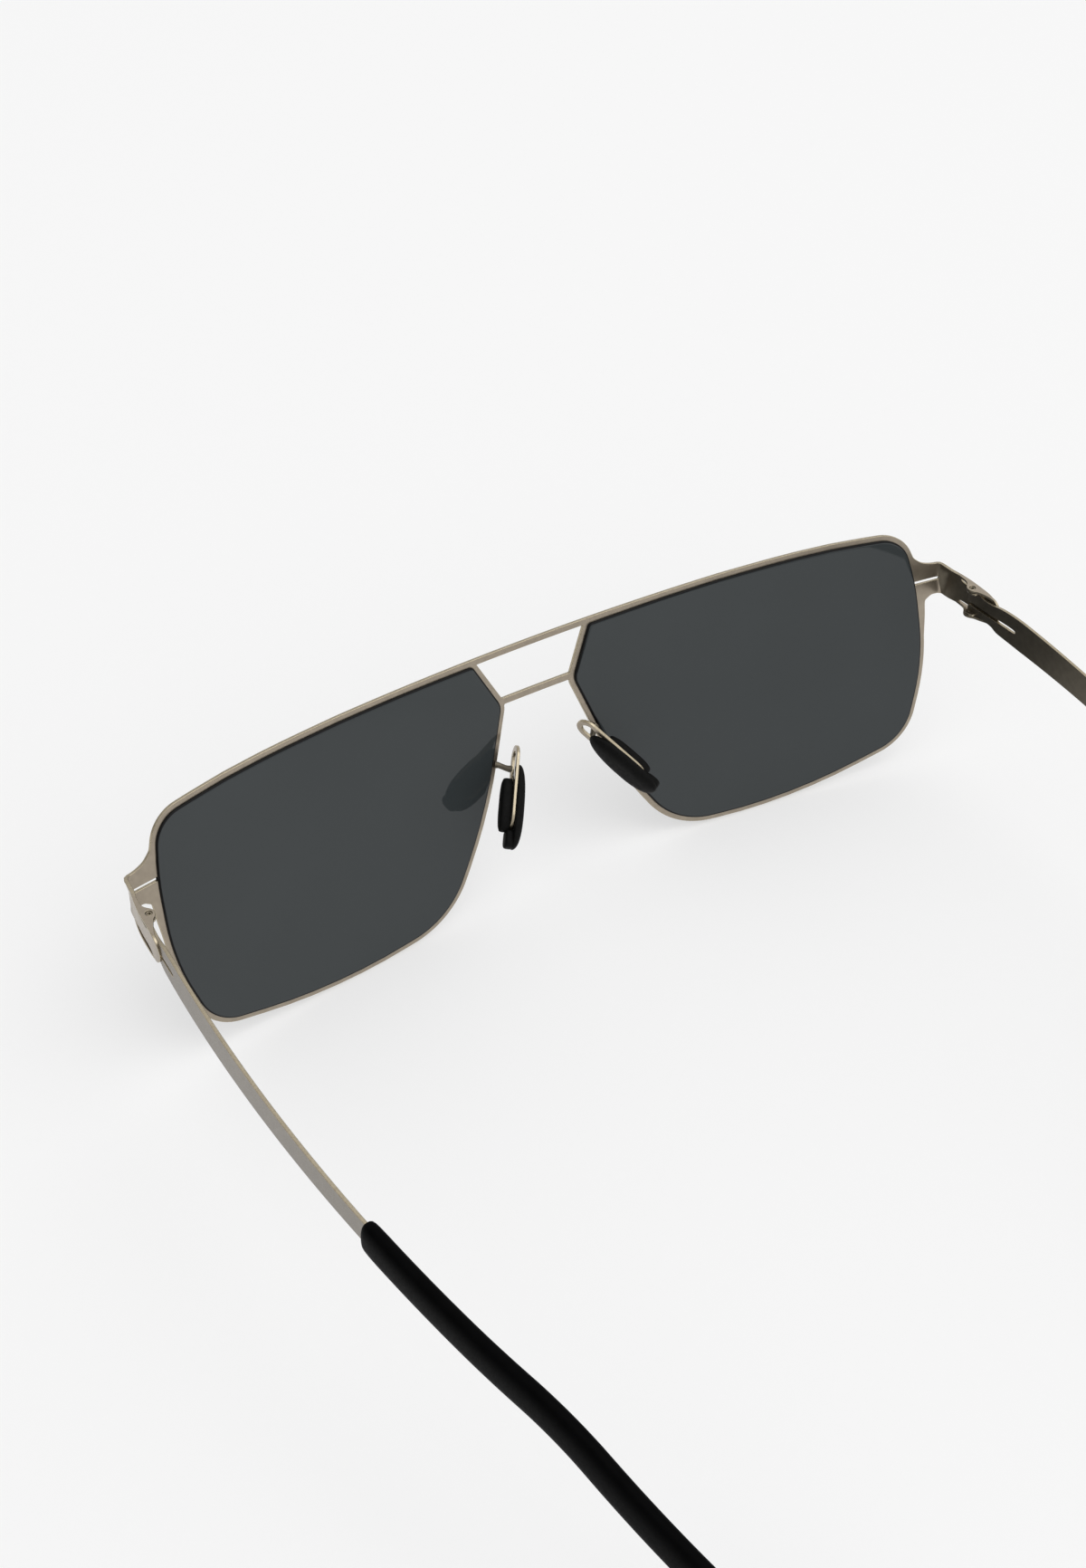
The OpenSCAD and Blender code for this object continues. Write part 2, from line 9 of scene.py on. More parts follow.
import bpy
import numpy as np
from bpy.props import FloatProperty, FloatVectorProperty, PointerProperty
from bpy.types import Operator, Panel, PropertyGroup
from mathutils import Matrix
from mathutils.geometry import delaunay_2d_cdt


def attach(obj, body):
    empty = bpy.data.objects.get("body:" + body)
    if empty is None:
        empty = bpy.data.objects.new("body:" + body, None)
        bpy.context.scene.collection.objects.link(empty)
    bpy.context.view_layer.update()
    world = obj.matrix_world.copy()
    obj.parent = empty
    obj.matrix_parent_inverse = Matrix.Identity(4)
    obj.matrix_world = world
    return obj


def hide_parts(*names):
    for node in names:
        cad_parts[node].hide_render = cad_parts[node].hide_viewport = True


bl_info = {
    "name": "Geometric sunglasses",
    "version": (1, 0, 0),
    "blender": (4, 5, 0),
    "location": "View3D > Sidebar > Sunglasses",
    "description": "Builds the visible pieces of a pair of folding sheet-metal sunglasses",
    "category": "Object",
}

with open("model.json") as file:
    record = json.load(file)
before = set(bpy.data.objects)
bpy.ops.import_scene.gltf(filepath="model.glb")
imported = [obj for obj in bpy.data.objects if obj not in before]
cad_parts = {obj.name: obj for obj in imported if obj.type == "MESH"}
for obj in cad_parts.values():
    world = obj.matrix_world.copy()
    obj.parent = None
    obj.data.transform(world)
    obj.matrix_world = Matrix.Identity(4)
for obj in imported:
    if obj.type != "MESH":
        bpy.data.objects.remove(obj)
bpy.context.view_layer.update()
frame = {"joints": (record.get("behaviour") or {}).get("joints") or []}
MM = 0.001


# Settings that a user would change


def millimetres(name, text, value):
    """A length property whose default is given in millimetres."""
    return FloatProperty(name=name, description=text, default=value * MM, unit="LENGTH", precision=5)


def finish(name, text, value):
    """A share between 0 and 1, such as a roughness."""
    return FloatProperty(name=name, description=text, default=value, min=0.0, max=1.0, subtype="FACTOR")


def tone(name, text, value):
    """A linear colour."""
    return FloatVectorProperty(
        name=name, description=text, default=value, size=3, min=0.0, max=1.0, subtype="COLOR"
    )


class SheetSettings(PropertyGroup):
    """Sheet metal of the front, the loops and the temples."""

    thickness: millimetres("Sheet thickness", "Thickness of the front's sheet", 0.6)
    rim_width: millimetres("Rim width", "Width of the rim's face", 1.0)
    edge: millimetres("Edge rounding", "Rounding of the cut edges", 0.1)
    colour: tone("Metal colour", "Colour of the satin coated metal", (0.345, 0.295, 0.232))
    # Painted shade: the inner colour is a darker copy of the metal colour for the sides that face the head,
    # which lie in shade.
    inner_shade_colour: tone("Inner colour", "Coat on the sides that face the head", (0.105, 0.091, 0.068))
    # The edge colour is lighter than the metal colour: partly the cut metal's own tone, partly painted
    # highlight on the rounded edges.
    edge_highlight_colour: tone("Edge colour", "Colour of the cut edges", (0.40, 0.345, 0.25))
    roughness: finish("Metal roughness", "Roughness of the satin coat", 0.32)


class LensSettings(PropertyGroup):
    """Tinted lenses."""

    proud_back: millimetres("Back lip", "How far the lens stands out behind the rim", 0.4)
    proud_front: millimetres("Front lip", "How far the lens stands out before the rim", 0.5)
    chamfer: millimetres("Edge chamfer", "Width of the polished chamfer at the lens edge", 0.16)
    colour: tone("Lens tint", "Colour of the tinted lens", (0.0325, 0.0380, 0.0398))
    roughness: finish("Lens roughness", "Roughness of the lens surface", 0.035)


class PadSettings(PropertyGroup):
    """Silicone nose pads."""

    length: millimetres("Pad length", "Length of the silicone pad", 13.0)
    width: millimetres("Pad width", "Width of the silicone pad", 5.2)
    thickness: millimetres("Pad thickness", "Thickness of the body on the nose side", 1.4)
    colour: tone("Silicone colour", "Colour of the silicone", (0.0045, 0.0045, 0.0043))


class TipSettings(PropertyGroup):
    """Sleeves on the temple ends."""

    height: millimetres("Sleeve height", "Height of the tip sleeve", 5.6)
    thickness: millimetres("Sleeve thickness", "Thickness of the tip sleeve", 2.5)
    colour: tone("Sleeve colour", "Colour of the tip sleeve", (0.0014, 0.0014, 0.0015))


class StudioSettings(PropertyGroup):
    """Floor, lights and camera."""

    floor: tone("Floor colour", "Colour of the pale floor", (0.46, 0.46, 0.46))
    backlight: FloatProperty(
        name="Backlight", description="Light that the translucent floor gives off", default=0.445, min=0.0
    )
    daylight: FloatProperty(
        name="Room light", description="Mean strength of the room's light", default=0.68, min=0.0
    )
    dim_side: finish("Dim side", "How bright the room is on the side away from its windows", 0.3)
    softbox: FloatProperty(
        name="Softbox", description="Power of the overhead softbox", default=8.0, min=0.0, unit="POWER"
    )
    lens: FloatProperty(
        name="Camera lens", description="Focal length of the camera", default=55.975, min=1.0, unit="CAMERA"
    )


# Shape of the real thing, in millimetres

# Front: radius of its wrap, lean of its plane, size of one rim and its distance from the middle
WRAP = 313.0
TILT = math.radians(14)
SPAN, RISE, NOSE_X = 60.7, 42.3, 5.7
TOP_BAR, LOW_BAR, BRIDGE_OPEN = 0.95, 1.05, 6.9
TOP_BAR_END = 9.4

# Corners of the rim as shares of its span and rise, each with its share of the largest rounding
RIM_CORNERS = (
    (0.063, 0.997, 0.22), (0.445, 1.001, 0.96), (0.761, 0.987, 0.97), (0.967, 0.953, 0.98),
    (0.998, 0.754, 0.97), (1.007, 0.415, 0.92), (0.938, 0.092, 0.72), (0.690, 0.011, 0.97),
    (0.478, -0.006, 0.97), (0.238, 0.033, 0.94), (0.087, 0.393, 0.98), (-0.004, 0.792, 0.28),
)
LEAST_CORNER_R = 0.3

# How far across the rim's nose side ends and its outer side begins
NOSE_SIDE, OUTER_SIDE = 25.0, 55.0

# Lug: where it bends back, the height of its middle and its own height, its bend and its slit
LUG_X, LUG_V, LUG_H = 70.4, 31.0, 5.3
BEND_R = 0.9
SLIT_LOW, SLIT_HIGH = LUG_V - 0.175, LUG_V + 0.375

# Hinge: its axis from the middle and back from the bend, tongue, ears with holes, tabs with collars
AXIS = (70.1, 7.2)
SEAT_GAP = 0.04
TONGUE_T, TONGUE_END = 0.4, 13.05
EAR_HOLE_R, EAR_EDGE = 0.5, 0.08
TAB_R, TAB_T, TAB_EDGE = 0.57, 0.31, 0.08
COLLAR_R, COLLAR_T, COLLAR_EDGE = 0.45, 0.52, 0.06
COLLAR_BORE_R = 0.25
COLLAR_BELOW_EAR = 0.08

# Temple: strip, its bows seen from above, its sag, and its bend behind the ear
TEMPLE_T, TEMPLE_H, TEMPLE_H_MID, TEMPLE_H_END = 0.55, 5.4, 3.9, 2.4
BOW_R, TIP_BOW_R = 273.0, 177.0
WIDEST = (71.64, 29.4)
TIGHTER = 85.0
SAG, SAG_FROM = 0.00045, 10.0
SLEEVE_FROM, EAR_FROM, EAR_R, EAR_DROP = 67.0, 95.0, 24.0, math.radians(31)
FULL_HEIGHT_BACK = 18.4

# Pad: middle of its loop in the front's own frame, its turns, its loop, its stem and the silicone's top
PAD_MID = (NOSE_X + 3.1, 5.0, LUG_V - 9.1)
PAD_TURNS = (-24.5, -37.0, 82.9)
LOOP_UP, LOOP_LEN, LOOP_W, LOOP_BAND, LOOP_T = 6.9, 13.0, 4.2, 0.9, 0.5
STEM_W, STEM_BELOW_TOP = 0.85, 2.95
STEM_BENDS = (
    (-0.59, -2.55, 0.1), (-0.5, -2.1, 0.1), (-0.35, -1.5, -0.1), (-0.12, -0.8, -0.35), (0, 0, -0.4),
)
PAD_UP = 4.0

# Lens: how far it laps over the rim's inner edge, and the depth of its groove
LENS_LAP, LENS_GROOVE = 0.2, 0.25

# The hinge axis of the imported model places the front's own frame in the row's frame.
HINGE = [q / MM for q in frame["joints"][0]["pos_m"]]
BASE_Y, BASE_Z = HINGE[1] - AXIS[1], HINGE[2]
LUG_DEPTH = WRAP - math.sqrt(WRAP ** 2 - LUG_X ** 2)
SHIFT = BASE_Y - (LUG_DEPTH * math.cos(TILT) - LUG_V * math.sin(TILT))
LIFT = BASE_Z - (LUG_DEPTH * math.sin(TILT) + LUG_V * math.cos(TILT))

# Camera of the photograph: its place, and its azimuth, elevation and roll in degrees
CAMERA_SPOT = (144.111, 235.478 + SHIFT, 264.843)
CAMERA_TURN = (149.215, 41.605, -0.210)

# Direction of the room's windows
WINDOWS_AT = (-0.6, 0.3, 0.75)

# Outlines of the tongue, the fork's arms and its slot from the side: back from the bend, over the base
PADDLE = (
    (8.7, 1.65), (9.2, 2.05), (9.9, 2.32), (10.8, 2.45), (11.8, 2.2), (12.5, 1.6), (12.95, 0.6),
    (13.05, -0.2), (12.75, -1.2), (12.1, -1.95), (11.4, -2.3), (10.6, -2.1), (9.9, -1.6), (9.0, -1.4),
    (6.8, -1.75),
)
ARM_TOP = 2.21
ARM_OVER = (
    (8.2, ARM_TOP), (9.2, 1.9), (10.3, 1.75), (11.7, 1.84), (12.7, 2.12), (14.0, 2.38), (16.0, 2.6),
)
ARM_UNDER = (
    (16.0, -2.68), (13.8, -2.64), (12.9, -2.5), (12.3, -2.2), (11.6, -2.06), (9.8, -2.12), (8.4, -ARM_TOP),
)
SLOT = (
    (7.4, -0.86), (9.2, -0.86), (13.2, -0.55), (15.5, -0.4), (17.0, -0.32), (17.3, 0.05), (17.0, 0.28),
    (15.5, 0.24), (13.0, 0.02), (9.2, -0.28), (7.4, -0.3),
)

# Outlines of an ear and of a tab from above: across and back from the hinge axis
EAR = (
    (0.4, -5.4), (0.75, -3.8), (0.98, -2.4), (1.12, -1.2), (1.2, 0.2), (1.28, 2.1), (1.3, 3.2), (1.25, 4.1),
    (0.95, 4.1), (0.65, 3.0), (0.3, 2.2), (-0.1, 1.3), (-0.55, 0.8), (-0.8, 0.35), (-0.86, -0.1),
    (-0.7, -0.6), (-0.25, -1.05), (0.15, -1.5), (0.3, -2.2), (0.2, -3.8),
)
TAB = ((-0.7, -0.3), (-0.75, 0.2), (-0.65, 0.8), (-0.35, 1.2), (0.1, 1.3), (0.3, 1.3))


# Curves and outlines


def unit(a):
    """Rows of a, or a itself, at length one."""
    return a / np.maximum(np.linalg.norm(a, axis=-1, keepdims=True), 1e-12)


def bulge(value, power):
    """Sine or cosine of a point round a section that goes from an ellipse at 2 to a box."""
    return np.sign(value) * np.abs(value) ** (2 / power)


def circle(mid, r, n):
    """Points round a circle."""
    turn = np.linspace(0, 2 * math.pi, n + 1)[:-1]
    return np.array([(mid[0] + r * math.cos(a), mid[1] + r * math.sin(a)) for a in turn])


def rim_path(inset, step=2.5):
    """Clockwise outline of one rim, moved inward by inset."""
    v = np.array([(NOSE_X + a * SPAN, b * RISE) for a, b, _ in RIM_CORNERS])
    n = len(v)
    radii = []
    for i in range(n):
        a, b, c = v[i - 1], v[i], v[(i + 1) % n]
        half = math.acos(float(unit(a - b) @ unit(c - b))) / 2
        shorter = min(np.linalg.norm(b - a), np.linalg.norm(c - b))
        radii.append(RIM_CORNERS[i][2] * shorter / 2 * math.tan(half))
    d = unit(np.roll(v, -1, 0) - v)
    inward = np.stack([d[:, 1], -d[:, 0]], 1)
    w = []
    for i in range(n):
        p, q = v[i - 1] + inward[i - 1] * inset, v[i] + inward[i] * inset
        e, g = d[i - 1], d[i]
        r = q - p
        w.append(p + e * (r[0] * g[1] - r[1] * g[0]) / (e[0] * g[1] - e[1] * g[0]))
    out = []
    for i in range(n):
        a, b, c = w[i - 1], w[i], w[(i + 1) % n]
        r = max(radii[i] - inset, LEAST_CORNER_R)
        d1, d2 = unit(a - b), unit(c - b)
        half = math.acos(float(d1 @ d2)) / 2
        mid = b + unit(d1 + d2) * r / math.sin(half)
        s = b + d1 * r / math.tan(half) - mid
        sweep = -(math.pi - 2 * half)
        k = max(3, int(math.degrees(-sweep) / step) + 1)
        for t in np.linspace(0, sweep, k):
            turned_s = (s[0] * math.cos(t) - s[1] * math.sin(t), s[0] * math.sin(t) + s[1] * math.cos(t))
            out.append(mid + turned_s)
    return np.array(out)


def across_at(height, points):
    """How far across the given points of a rim's outline lie at a height."""
    return float(np.interp(height, *zip(*sorted((p[1], p[0]) for p in points))))


def nose_side(rim):
    """Points of a rim's outline on the side of the nose, below the top bar."""
    return [p for p in rim if p[0] < NOSE_SIDE and p[1] < RISE - TOP_BAR - 5]


def densify(loop, step, closed=True):
    """The polyline with points at most step apart."""
    pts = np.vstack([loop, loop[:1]]) if closed else np.asarray(loop)
    out = []
    for a, b in zip(pts[:-1], pts[1:]):
        k = max(1, int(math.ceil(np.linalg.norm(b - a) / step)))
        out.extend(a + (b - a) * t for t in np.arange(k) / k)
    if not closed:
        out.append(pts[-1])
    return np.array(out)


def soften(pts, times=2, closed=True):
    """The polyline with its corners cut, times over."""
    p = np.asarray(pts, float)
    for _ in range(times):
        q = np.vstack([p, p[:1]]) if closed else p
        a, b = q[:-1], q[1:]
        cut = np.stack([a * 0.75 + b * 0.25, a * 0.25 + b * 0.75], 1).reshape(-1, p.shape[1])
        p = cut if closed else np.vstack([p[:1], cut[1:-1], p[-1:]])
    return p


def area(loop):
    """Area inside a loop, positive where it runs counter-clockwise."""
    x, y = loop[:, 0], loop[:, 1]
    return 0.5 * float(np.sum(x * np.roll(y, -1) - np.roll(x, -1) * y))


def turned(loop, ccw=True):
    """The loop, run counter-clockwise or clockwise as asked."""
    return loop if (area(loop) > 0) == ccw else loop[::-1]


def outward_of(loop):
    """Unit directions away from the material, which the loop keeps on its left, and mitre lengths."""
    fwd = unit(np.roll(loop, -1, 0) - loop)
    back = np.roll(fwd, 1, 0)
    n = np.stack([fwd[:, 1] + back[:, 1], -fwd[:, 0] - back[:, 0]], 1)
    length = np.linalg.norm(n, axis=1, keepdims=True)
    return n / np.maximum(length, 1e-9), 2 / np.maximum(length ** 2, 0.8) * length


def inside(points, loop):
    """Which points lie inside the loop."""
    x, y = points[:, 0][:, None], points[:, 1][:, None]
    a, b = loop, np.roll(loop, -1, 0)
    over = (a[:, 1] > y) != (b[:, 1] > y)
    with np.errstate(divide="ignore", invalid="ignore"):
        cross = (b[:, 0] - a[:, 0]) * (y - a[:, 1]) / (b[:, 1] - a[:, 1]) + a[:, 0]
    return np.sum(over & (x < cross), axis=1) % 2 == 1


def oblong(w, low, high, n=14):
    """A slot-shaped outline, counter-clockwise."""
    r = w / 2
    top = [(r * math.cos(a), high - r + r * math.sin(a)) for a in np.linspace(0, math.pi, n)]
    bottom = [(r * math.cos(a), low + r + r * math.sin(a)) for a in np.linspace(math.pi, 2 * math.pi, n)]
    return np.array(top + bottom)


def tube(path, widths, across, n=14, power=2.4):
    """Rings of a rounded square section along a path. across is the direction of the width."""
    path = np.asarray(path, float)
    run = unit(np.gradient(path, axis=0))
    a = np.linspace(0, 2 * math.pi, n + 1)[:-1] + math.pi / n
    cx, sy = bulge(np.cos(a), power), bulge(np.sin(a), power)
    rings = []
    for p, d, w in zip(path, run, widths):
        u = unit(across - d * (across @ d))
        v = np.cross(d, u)
        rings.append(p + np.outer(cx * w / 2, u) + np.outer(sy * w / 2, v))
    return rings


# Meshes


class Maker:
    """Collects vertices, faces and exact normals, then makes one object of them."""

    def __init__(self):
        self.points, self.faces, self.normals, self.count = [], [], [], 0
        self.walls = []

    def add(self, points, faces, normals=None):
        """Adds vertices and their faces."""
        if normals is None:
            normals = np.zeros((len(points), 3))
        self.points.append(np.asarray(points, float))
        self.normals.append(np.asarray(normals, float))
        self.faces.extend([tuple(int(i) + self.count for i in f) for f in faces])
        self.count += len(points)

    def plate(self, loops, thick, edge, place, steps=3):
        """A plate cut along flat loops, with rounded edges, laid onto a surface by place(points, depth).
        The first loop is the outline and the others are holes."""
        loops = [turned(np.asarray(loop, float), i == 0) for i, loop in enumerate(loops)]
        turn = np.linspace(0, math.pi / 2, steps + 1)
        inset = edge * (1 - np.sin(turn))
        depth = edge * (1 - np.cos(turn))
        rows = list(zip(inset, depth, turn))
        rows += [(i, thick - d, math.pi - a) for i, d, a in reversed(rows)]
        points, normals, faces, first, caps = [], [], [], [], []
        base, probe = 0, 0.01
        for loop in loops:
            out, miter = outward_of(loop)
            n = len(loop)
            first.append(base)
            for inset_k, depth_k, turn_k in rows:
                flat = loop - out * miter * inset_k
                deep = np.full(n, depth_k)
                here = place(flat, deep)
                face_n = unit(place(flat, deep - probe) - here)
                side = unit(place(flat + out * probe, deep) - here)
                points.append(here)
                normals.append(unit(face_n * math.cos(turn_k) + side * math.sin(turn_k)))
            caps.append(loop - out * miter * rows[0][0])
            for k in range(len(rows) - 1):
                a, b = base + k * n, base + (k + 1) * n
                faces.extend((a + j, a + (j + 1) % n, b + (j + 1) % n, b + j) for j in range(n))
            base += n * len(rows)
        self.walls.extend(range(len(self.faces), len(self.faces) + len(faces)))
        for corners in self.cap_triangles(caps):
            faces.append(tuple(first[i] + j for i, j in corners))
            back = [first[i] + (len(rows) - 1) * len(loops[i]) + j for i, j in corners]
            faces.append(tuple(back[::-1]))
        self.add(np.vstack(points), faces, np.vstack(normals))

    @staticmethod
    def cap_triangles(caps):
        """Triangles between an outline and its holes, each corner as (number of its loop, place on it)."""
        edges, where = [], []
        for i, cap in enumerate(caps):
            at, n = len(where), len(cap)
            edges.extend((at + j, at + (j + 1) % n) for j in range(n))
            where.extend((i, j) for j in range(n))
        made = delaunay_2d_cdt([tuple(p) for p in np.vstack(caps)], edges, [], 0, 1e-6)
        flat = np.array([tuple(p) for p in made[0]])
        origin = [o[0] if o else None for o in made[3]]
        tris = list(made[2])
        middle = np.array([flat[list(t)].mean(0) for t in tris])
        keep = inside(middle, caps[0])
        for cap in caps[1:]:
            keep &= ~inside(middle, cap)
        whole = [t for t, k in zip(tris, keep) if k and all(origin[v] is not None for v in t)]
        return [[where[origin[v]] for v in t] for t in whole]

    def rings(self, rings):
        """A closed skin over rings of the same count."""
        n = len(rings[0])
        faces = []
        for k in range(len(rings) - 1):
            a, b = k * n, (k + 1) * n
            faces.extend((a + j, a + (j + 1) % n, b + (j + 1) % n, b + j) for j in range(n))
        faces.append(tuple(range(n))[::-1])
        faces.append(tuple((len(rings) - 1) * n + j for j in range(n)))
        self.add(np.vstack(rings), faces)

    def make(self, name, body, material, replaces=(), sharp=None, mirror=False):
        """One object of all that was added, which rides on a body of the frame."""
        points = np.vstack(self.points) * MM
        normals = np.vstack(self.normals)
        if mirror:
            points = points * (-1, 1, 1)
            normals = normals * (-1, 1, 1)
        exact = np.linalg.norm(normals, axis=1) > 0.5
        faces = []
        for f in self.faces:
            idx = list(f)
            if exact[idx].all():
                a, b, c = points[idx[0]], points[idx[1]], points[idx[-1]]
                turn = np.cross(b - a, c - a) @ normals[idx].sum(0)
                if turn < 0:
                    idx.reverse()
            elif mirror:
                idx.reverse()
            faces.append(idx)
        mesh = bpy.data.meshes.new(name)
        mesh.from_pydata(points.tolist(), [], faces)
        mesh.materials.append(material)
        if self.walls:
            # Wall faces take the cut-edge colour, which carries painted highlight.
            mesh.materials.append(cut_edge())
        for k in self.walls:
            mesh.polygons[k].material_index = 1
        mesh.validate()
        mesh.shade_smooth()
        if exact.all():
            mesh.normals_split_custom_set_from_vertices([tuple(n) for n in normals])
        elif sharp:
            mesh.set_sharp_from_angle(angle=math.radians(sharp))
        obj = bpy.data.objects.new(name, mesh)
        bpy.context.scene.collection.objects.link(obj)
        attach(obj, body)
        if replaces:
            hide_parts(*replaces)
        return obj


# The front


def shell_depth(x, r):
    """How far back a shell of radius r lies, x away from the middle."""
    return WRAP - np.sqrt(r * r - x * x)


def on_front(x, d, v):
    """A point of the front's own frame (across, depth, height) in the row's frame."""
    c, s = math.cos(TILT), math.sin(TILT)
    return np.stack([x, d * c - v * s + SHIFT, d * s + v * c + LIFT], -1)


def bow_x(y, inner):
    """How far out a face of the temple lies, y back from the bend and inner in from the outer face."""
    y = np.asarray(y, float)
    turn = math.asin((TIGHTER - WIDEST[1]) / BOW_R)
    cx, cy = WIDEST[0] - BOW_R, WIDEST[1]
    near = cx + np.sqrt((BOW_R - inner) ** 2 - np.clip(y - cy, None, 150) ** 2)
    ox = cx + (BOW_R - TIP_BOW_R) * math.cos(turn)
    oy = cy + (BOW_R - TIP_BOW_R) * math.sin(turn)
    far = ox + np.sqrt((TIP_BOW_R - inner) ** 2 - np.clip(y - oy, -150, 150) ** 2)
    return np.where(y <= TIGHTER, near, far)


def sheet_thickness():
    """Thickness of the front's sheet, in millimetres."""
    return bpy.context.scene.sunglasses_sheet.thickness / MM


ARC_POINTS = 10


def blank_course():
    """Plan of the outer face from the lug round the bend and along the tongue: points and their lengths."""
    r = WRAP + sheet_thickness()
    lean = math.asin((LUG_X - BEND_R) / r)
    x0 = LUG_X - BEND_R * (1 - math.sin(lean))
    start = on_front(np.array(x0), shell_depth(x0, r), np.array(LUG_V))[:2]
    centre = start + BEND_R * np.array([-math.sin(lean), math.cos(lean)])
    turn = np.linspace(lean, math.pi / 2, ARC_POINTS)
    arc = [centre + BEND_R * np.array([math.sin(a), -math.cos(a)]) for a in turn]
    # The plate steps out a little on its way to the tongue, whose end curls in.
    out = LUG_X + 0.12
    after = [(out, BASE_Y + 1.6), (out + 0.1, BASE_Y + 2.6), (out + 0.26, BASE_Y + 3.5)]
    curl_over, curl_in = 2.0, 0.22
    ys = np.linspace(5.2, TONGUE_END, 12)
    curl = np.clip((ys - TONGUE_END + curl_over) / curl_over, 0, 1) ** 2 * curl_in
    tongue = [(float(bow_x(y, -SEAT_GAP - TONGUE_T)) - c, BASE_Y + y) for y, c in zip(ys, curl)]
    rest = soften(np.array([arc[-1]] + after + tongue), 2, closed=False)
    path = np.vstack([np.array(arc), rest[1:]])
    length = np.concatenate([[0], np.cumsum(np.linalg.norm(np.diff(path, axis=0), axis=1))])
    return x0, path, length


def front_place(course):
    """Lays the flat blank onto the curved front and, beyond the lugs, round the bends to the tongues."""
    x0, path, length = course
    t = sheet_thickness()
    bend_len = length[ARC_POINTS - 1]
    thin_from, thin_over, level_by = bend_len + 2.0, 2.0, bend_len + 2.5
    probe = 0.05

    def course_at(s):
        return np.stack([np.interp(s, length, path[:, 0]), np.interp(s, length, path[:, 1])], 1)

    def place(flat, depth):
        x, v = flat[:, 0], flat[:, 1]
        side = np.where(x < 0, -1.0, 1.0)
        ax = np.abs(x)
        on_shell = np.minimum(ax, x0)
        lay = on_front(on_shell, shell_depth(on_shell, WRAP + t - depth), v)
        s = np.clip(ax - x0, 0, length[-1])
        p = course_at(s)
        q = unit(course_at(s + probe) - course_at(s - probe))
        d = depth * (1 - (1 - TONGUE_T / t) * np.clip((s - thin_from) / thin_over, 0, 1))
        share = np.clip(s / level_by, 0, 1)
        lean = TILT * (1 - share * share * (3 - 2 * share))
        h = v - LUG_V
        z0 = on_front(np.array(x0), shell_depth(x0, WRAP + t), np.array(LUG_V))[2]
        z0 = z0 + (BASE_Z - z0) * share
        bx, by = p[:, 0] - q[:, 1] * d, p[:, 1] + q[:, 0] * d
        bent = np.stack([bx, by - h * np.sin(lean), z0 + h * np.cos(lean)], 1)
        out = np.where((ax > x0)[:, None], bent, lay)
        out[:, 0] *= side
        return out

    return place


def front_outline(course):
    """Outline of one half of the blank, clockwise from the middle of the top bar to that of the low bar."""
    x0, path, length = course
    low = RISE - TOP_BAR - BRIDGE_OPEN - LOW_BAR
    up, down = LUG_V + LUG_H / 2, LUG_V - LUG_H / 2
    rim = rim_path(0)
    start = int(np.argmax((rim[:, 0] > TOP_BAR_END + 2.1) & (rim[:, 1] > RISE - 4.3)))
    rim = np.roll(rim, -start, 0)
    lug_in = NOSE_X + SPAN - 0.7
    before = [p for p in rim[: len(rim) // 2] if p[1] > up + 3.4]
    after = [p for p in rim[len(rim) // 5:] if (p[0] > OUTER_SIDE and down - 7.0 > p[1] > 8) or (p[1] <= 8)]
    nose = [p for p in rim[len(rim) // 2:] if p[0] < NOSE_SIDE and 8 < p[1] < low - 0.3]
    nose_x = across_at(low, nose_side(rim))
    outer = [p for p in rim if p[0] > OUTER_SIDE and p[1] > 8]

    def along(y):
        """Where a height line of the hinge's own frame, y back from the bend, lies on the flat blank."""
        return x0 + float(np.interp(y + BASE_Y, path[:, 1], length))

    def beside(v, out=0.0):
        """A point beside the rim's outer edge."""
        return across_at(v, outer) + out, v

    neck = along(4.0)
    upper = [beside(up + 3.2), beside(up + 2.5, 0.03), beside(up + 1.85, 0.15)]
    shoulder = ((0.5, 1.3), (1.0, 0.85), (1.7, 0.5), (2.6, 0.22), (3.6, 0.05))
    upper += [(lug_in + a, up + b) for a, b in shoulder]
    upper += [(along(1.0), up), (neck - 0.3, up), (neck - 0.05, up - 0.12), (neck, up - 0.4)]
    tail = [(neck + 0.05, LUG_V + 1.95), (neck + 0.4, LUG_V + 1.65)]
    tail += [(along(y), LUG_V + h) for y, h in PADDLE]
    tail += [(neck + 0.4, LUG_V - 1.75), (neck + 0.05, LUG_V - 2.0)]
    lower = [(neck, down + 0.4), (neck - 0.05, down + 0.12), (neck - 0.3, down), (along(1.0), down)]
    lower += [(lug_in + a, down + b) for a, b in ((2.9, 0.15), (2.4, 0.08), (2.05, -0.15))]
    fillet = ((0.55, 0.7), (1.1, 0.58), (2.0, 0.5), (3.2, 0.4), (4.6, 0.22), (5.8, 0.08), (6.8, 0.0))
    lower += [beside(down - below, out) for below, out in fillet]
    lug = soften(upper + tail + lower, 2, closed=False)
    half = [(0, RISE), (TOP_BAR_END, RISE)] + before + list(lug) + after + nose
    half += [(nose_x, low - 0.12), (nose_x - 0.2, low), (0, low)]
    return np.array(half)


def bridge_window():
    """Outline of the opening between the bars, from the low bar's end up to the top bar and mirrored."""
    low_top, top = RISE - TOP_BAR - BRIDGE_OPEN, RISE - TOP_BAR
    rim = rim_path(0)
    nose = np.array([p for p in rim if p[0] < NOSE_SIDE and low_top + 0.25 < p[1] < top - 0.25])
    nose = nose[np.argsort(nose[:, 1])]
    foot = (across_at(low_top, nose_side(rim)), low_top)
    head = (nose[-1, 0] + (top - nose[-1, 1]) * 0.48, top)
    nose = np.vstack([foot, nose, head])
    return np.vstack([nose, (nose * (-1, 1))[::-1]])


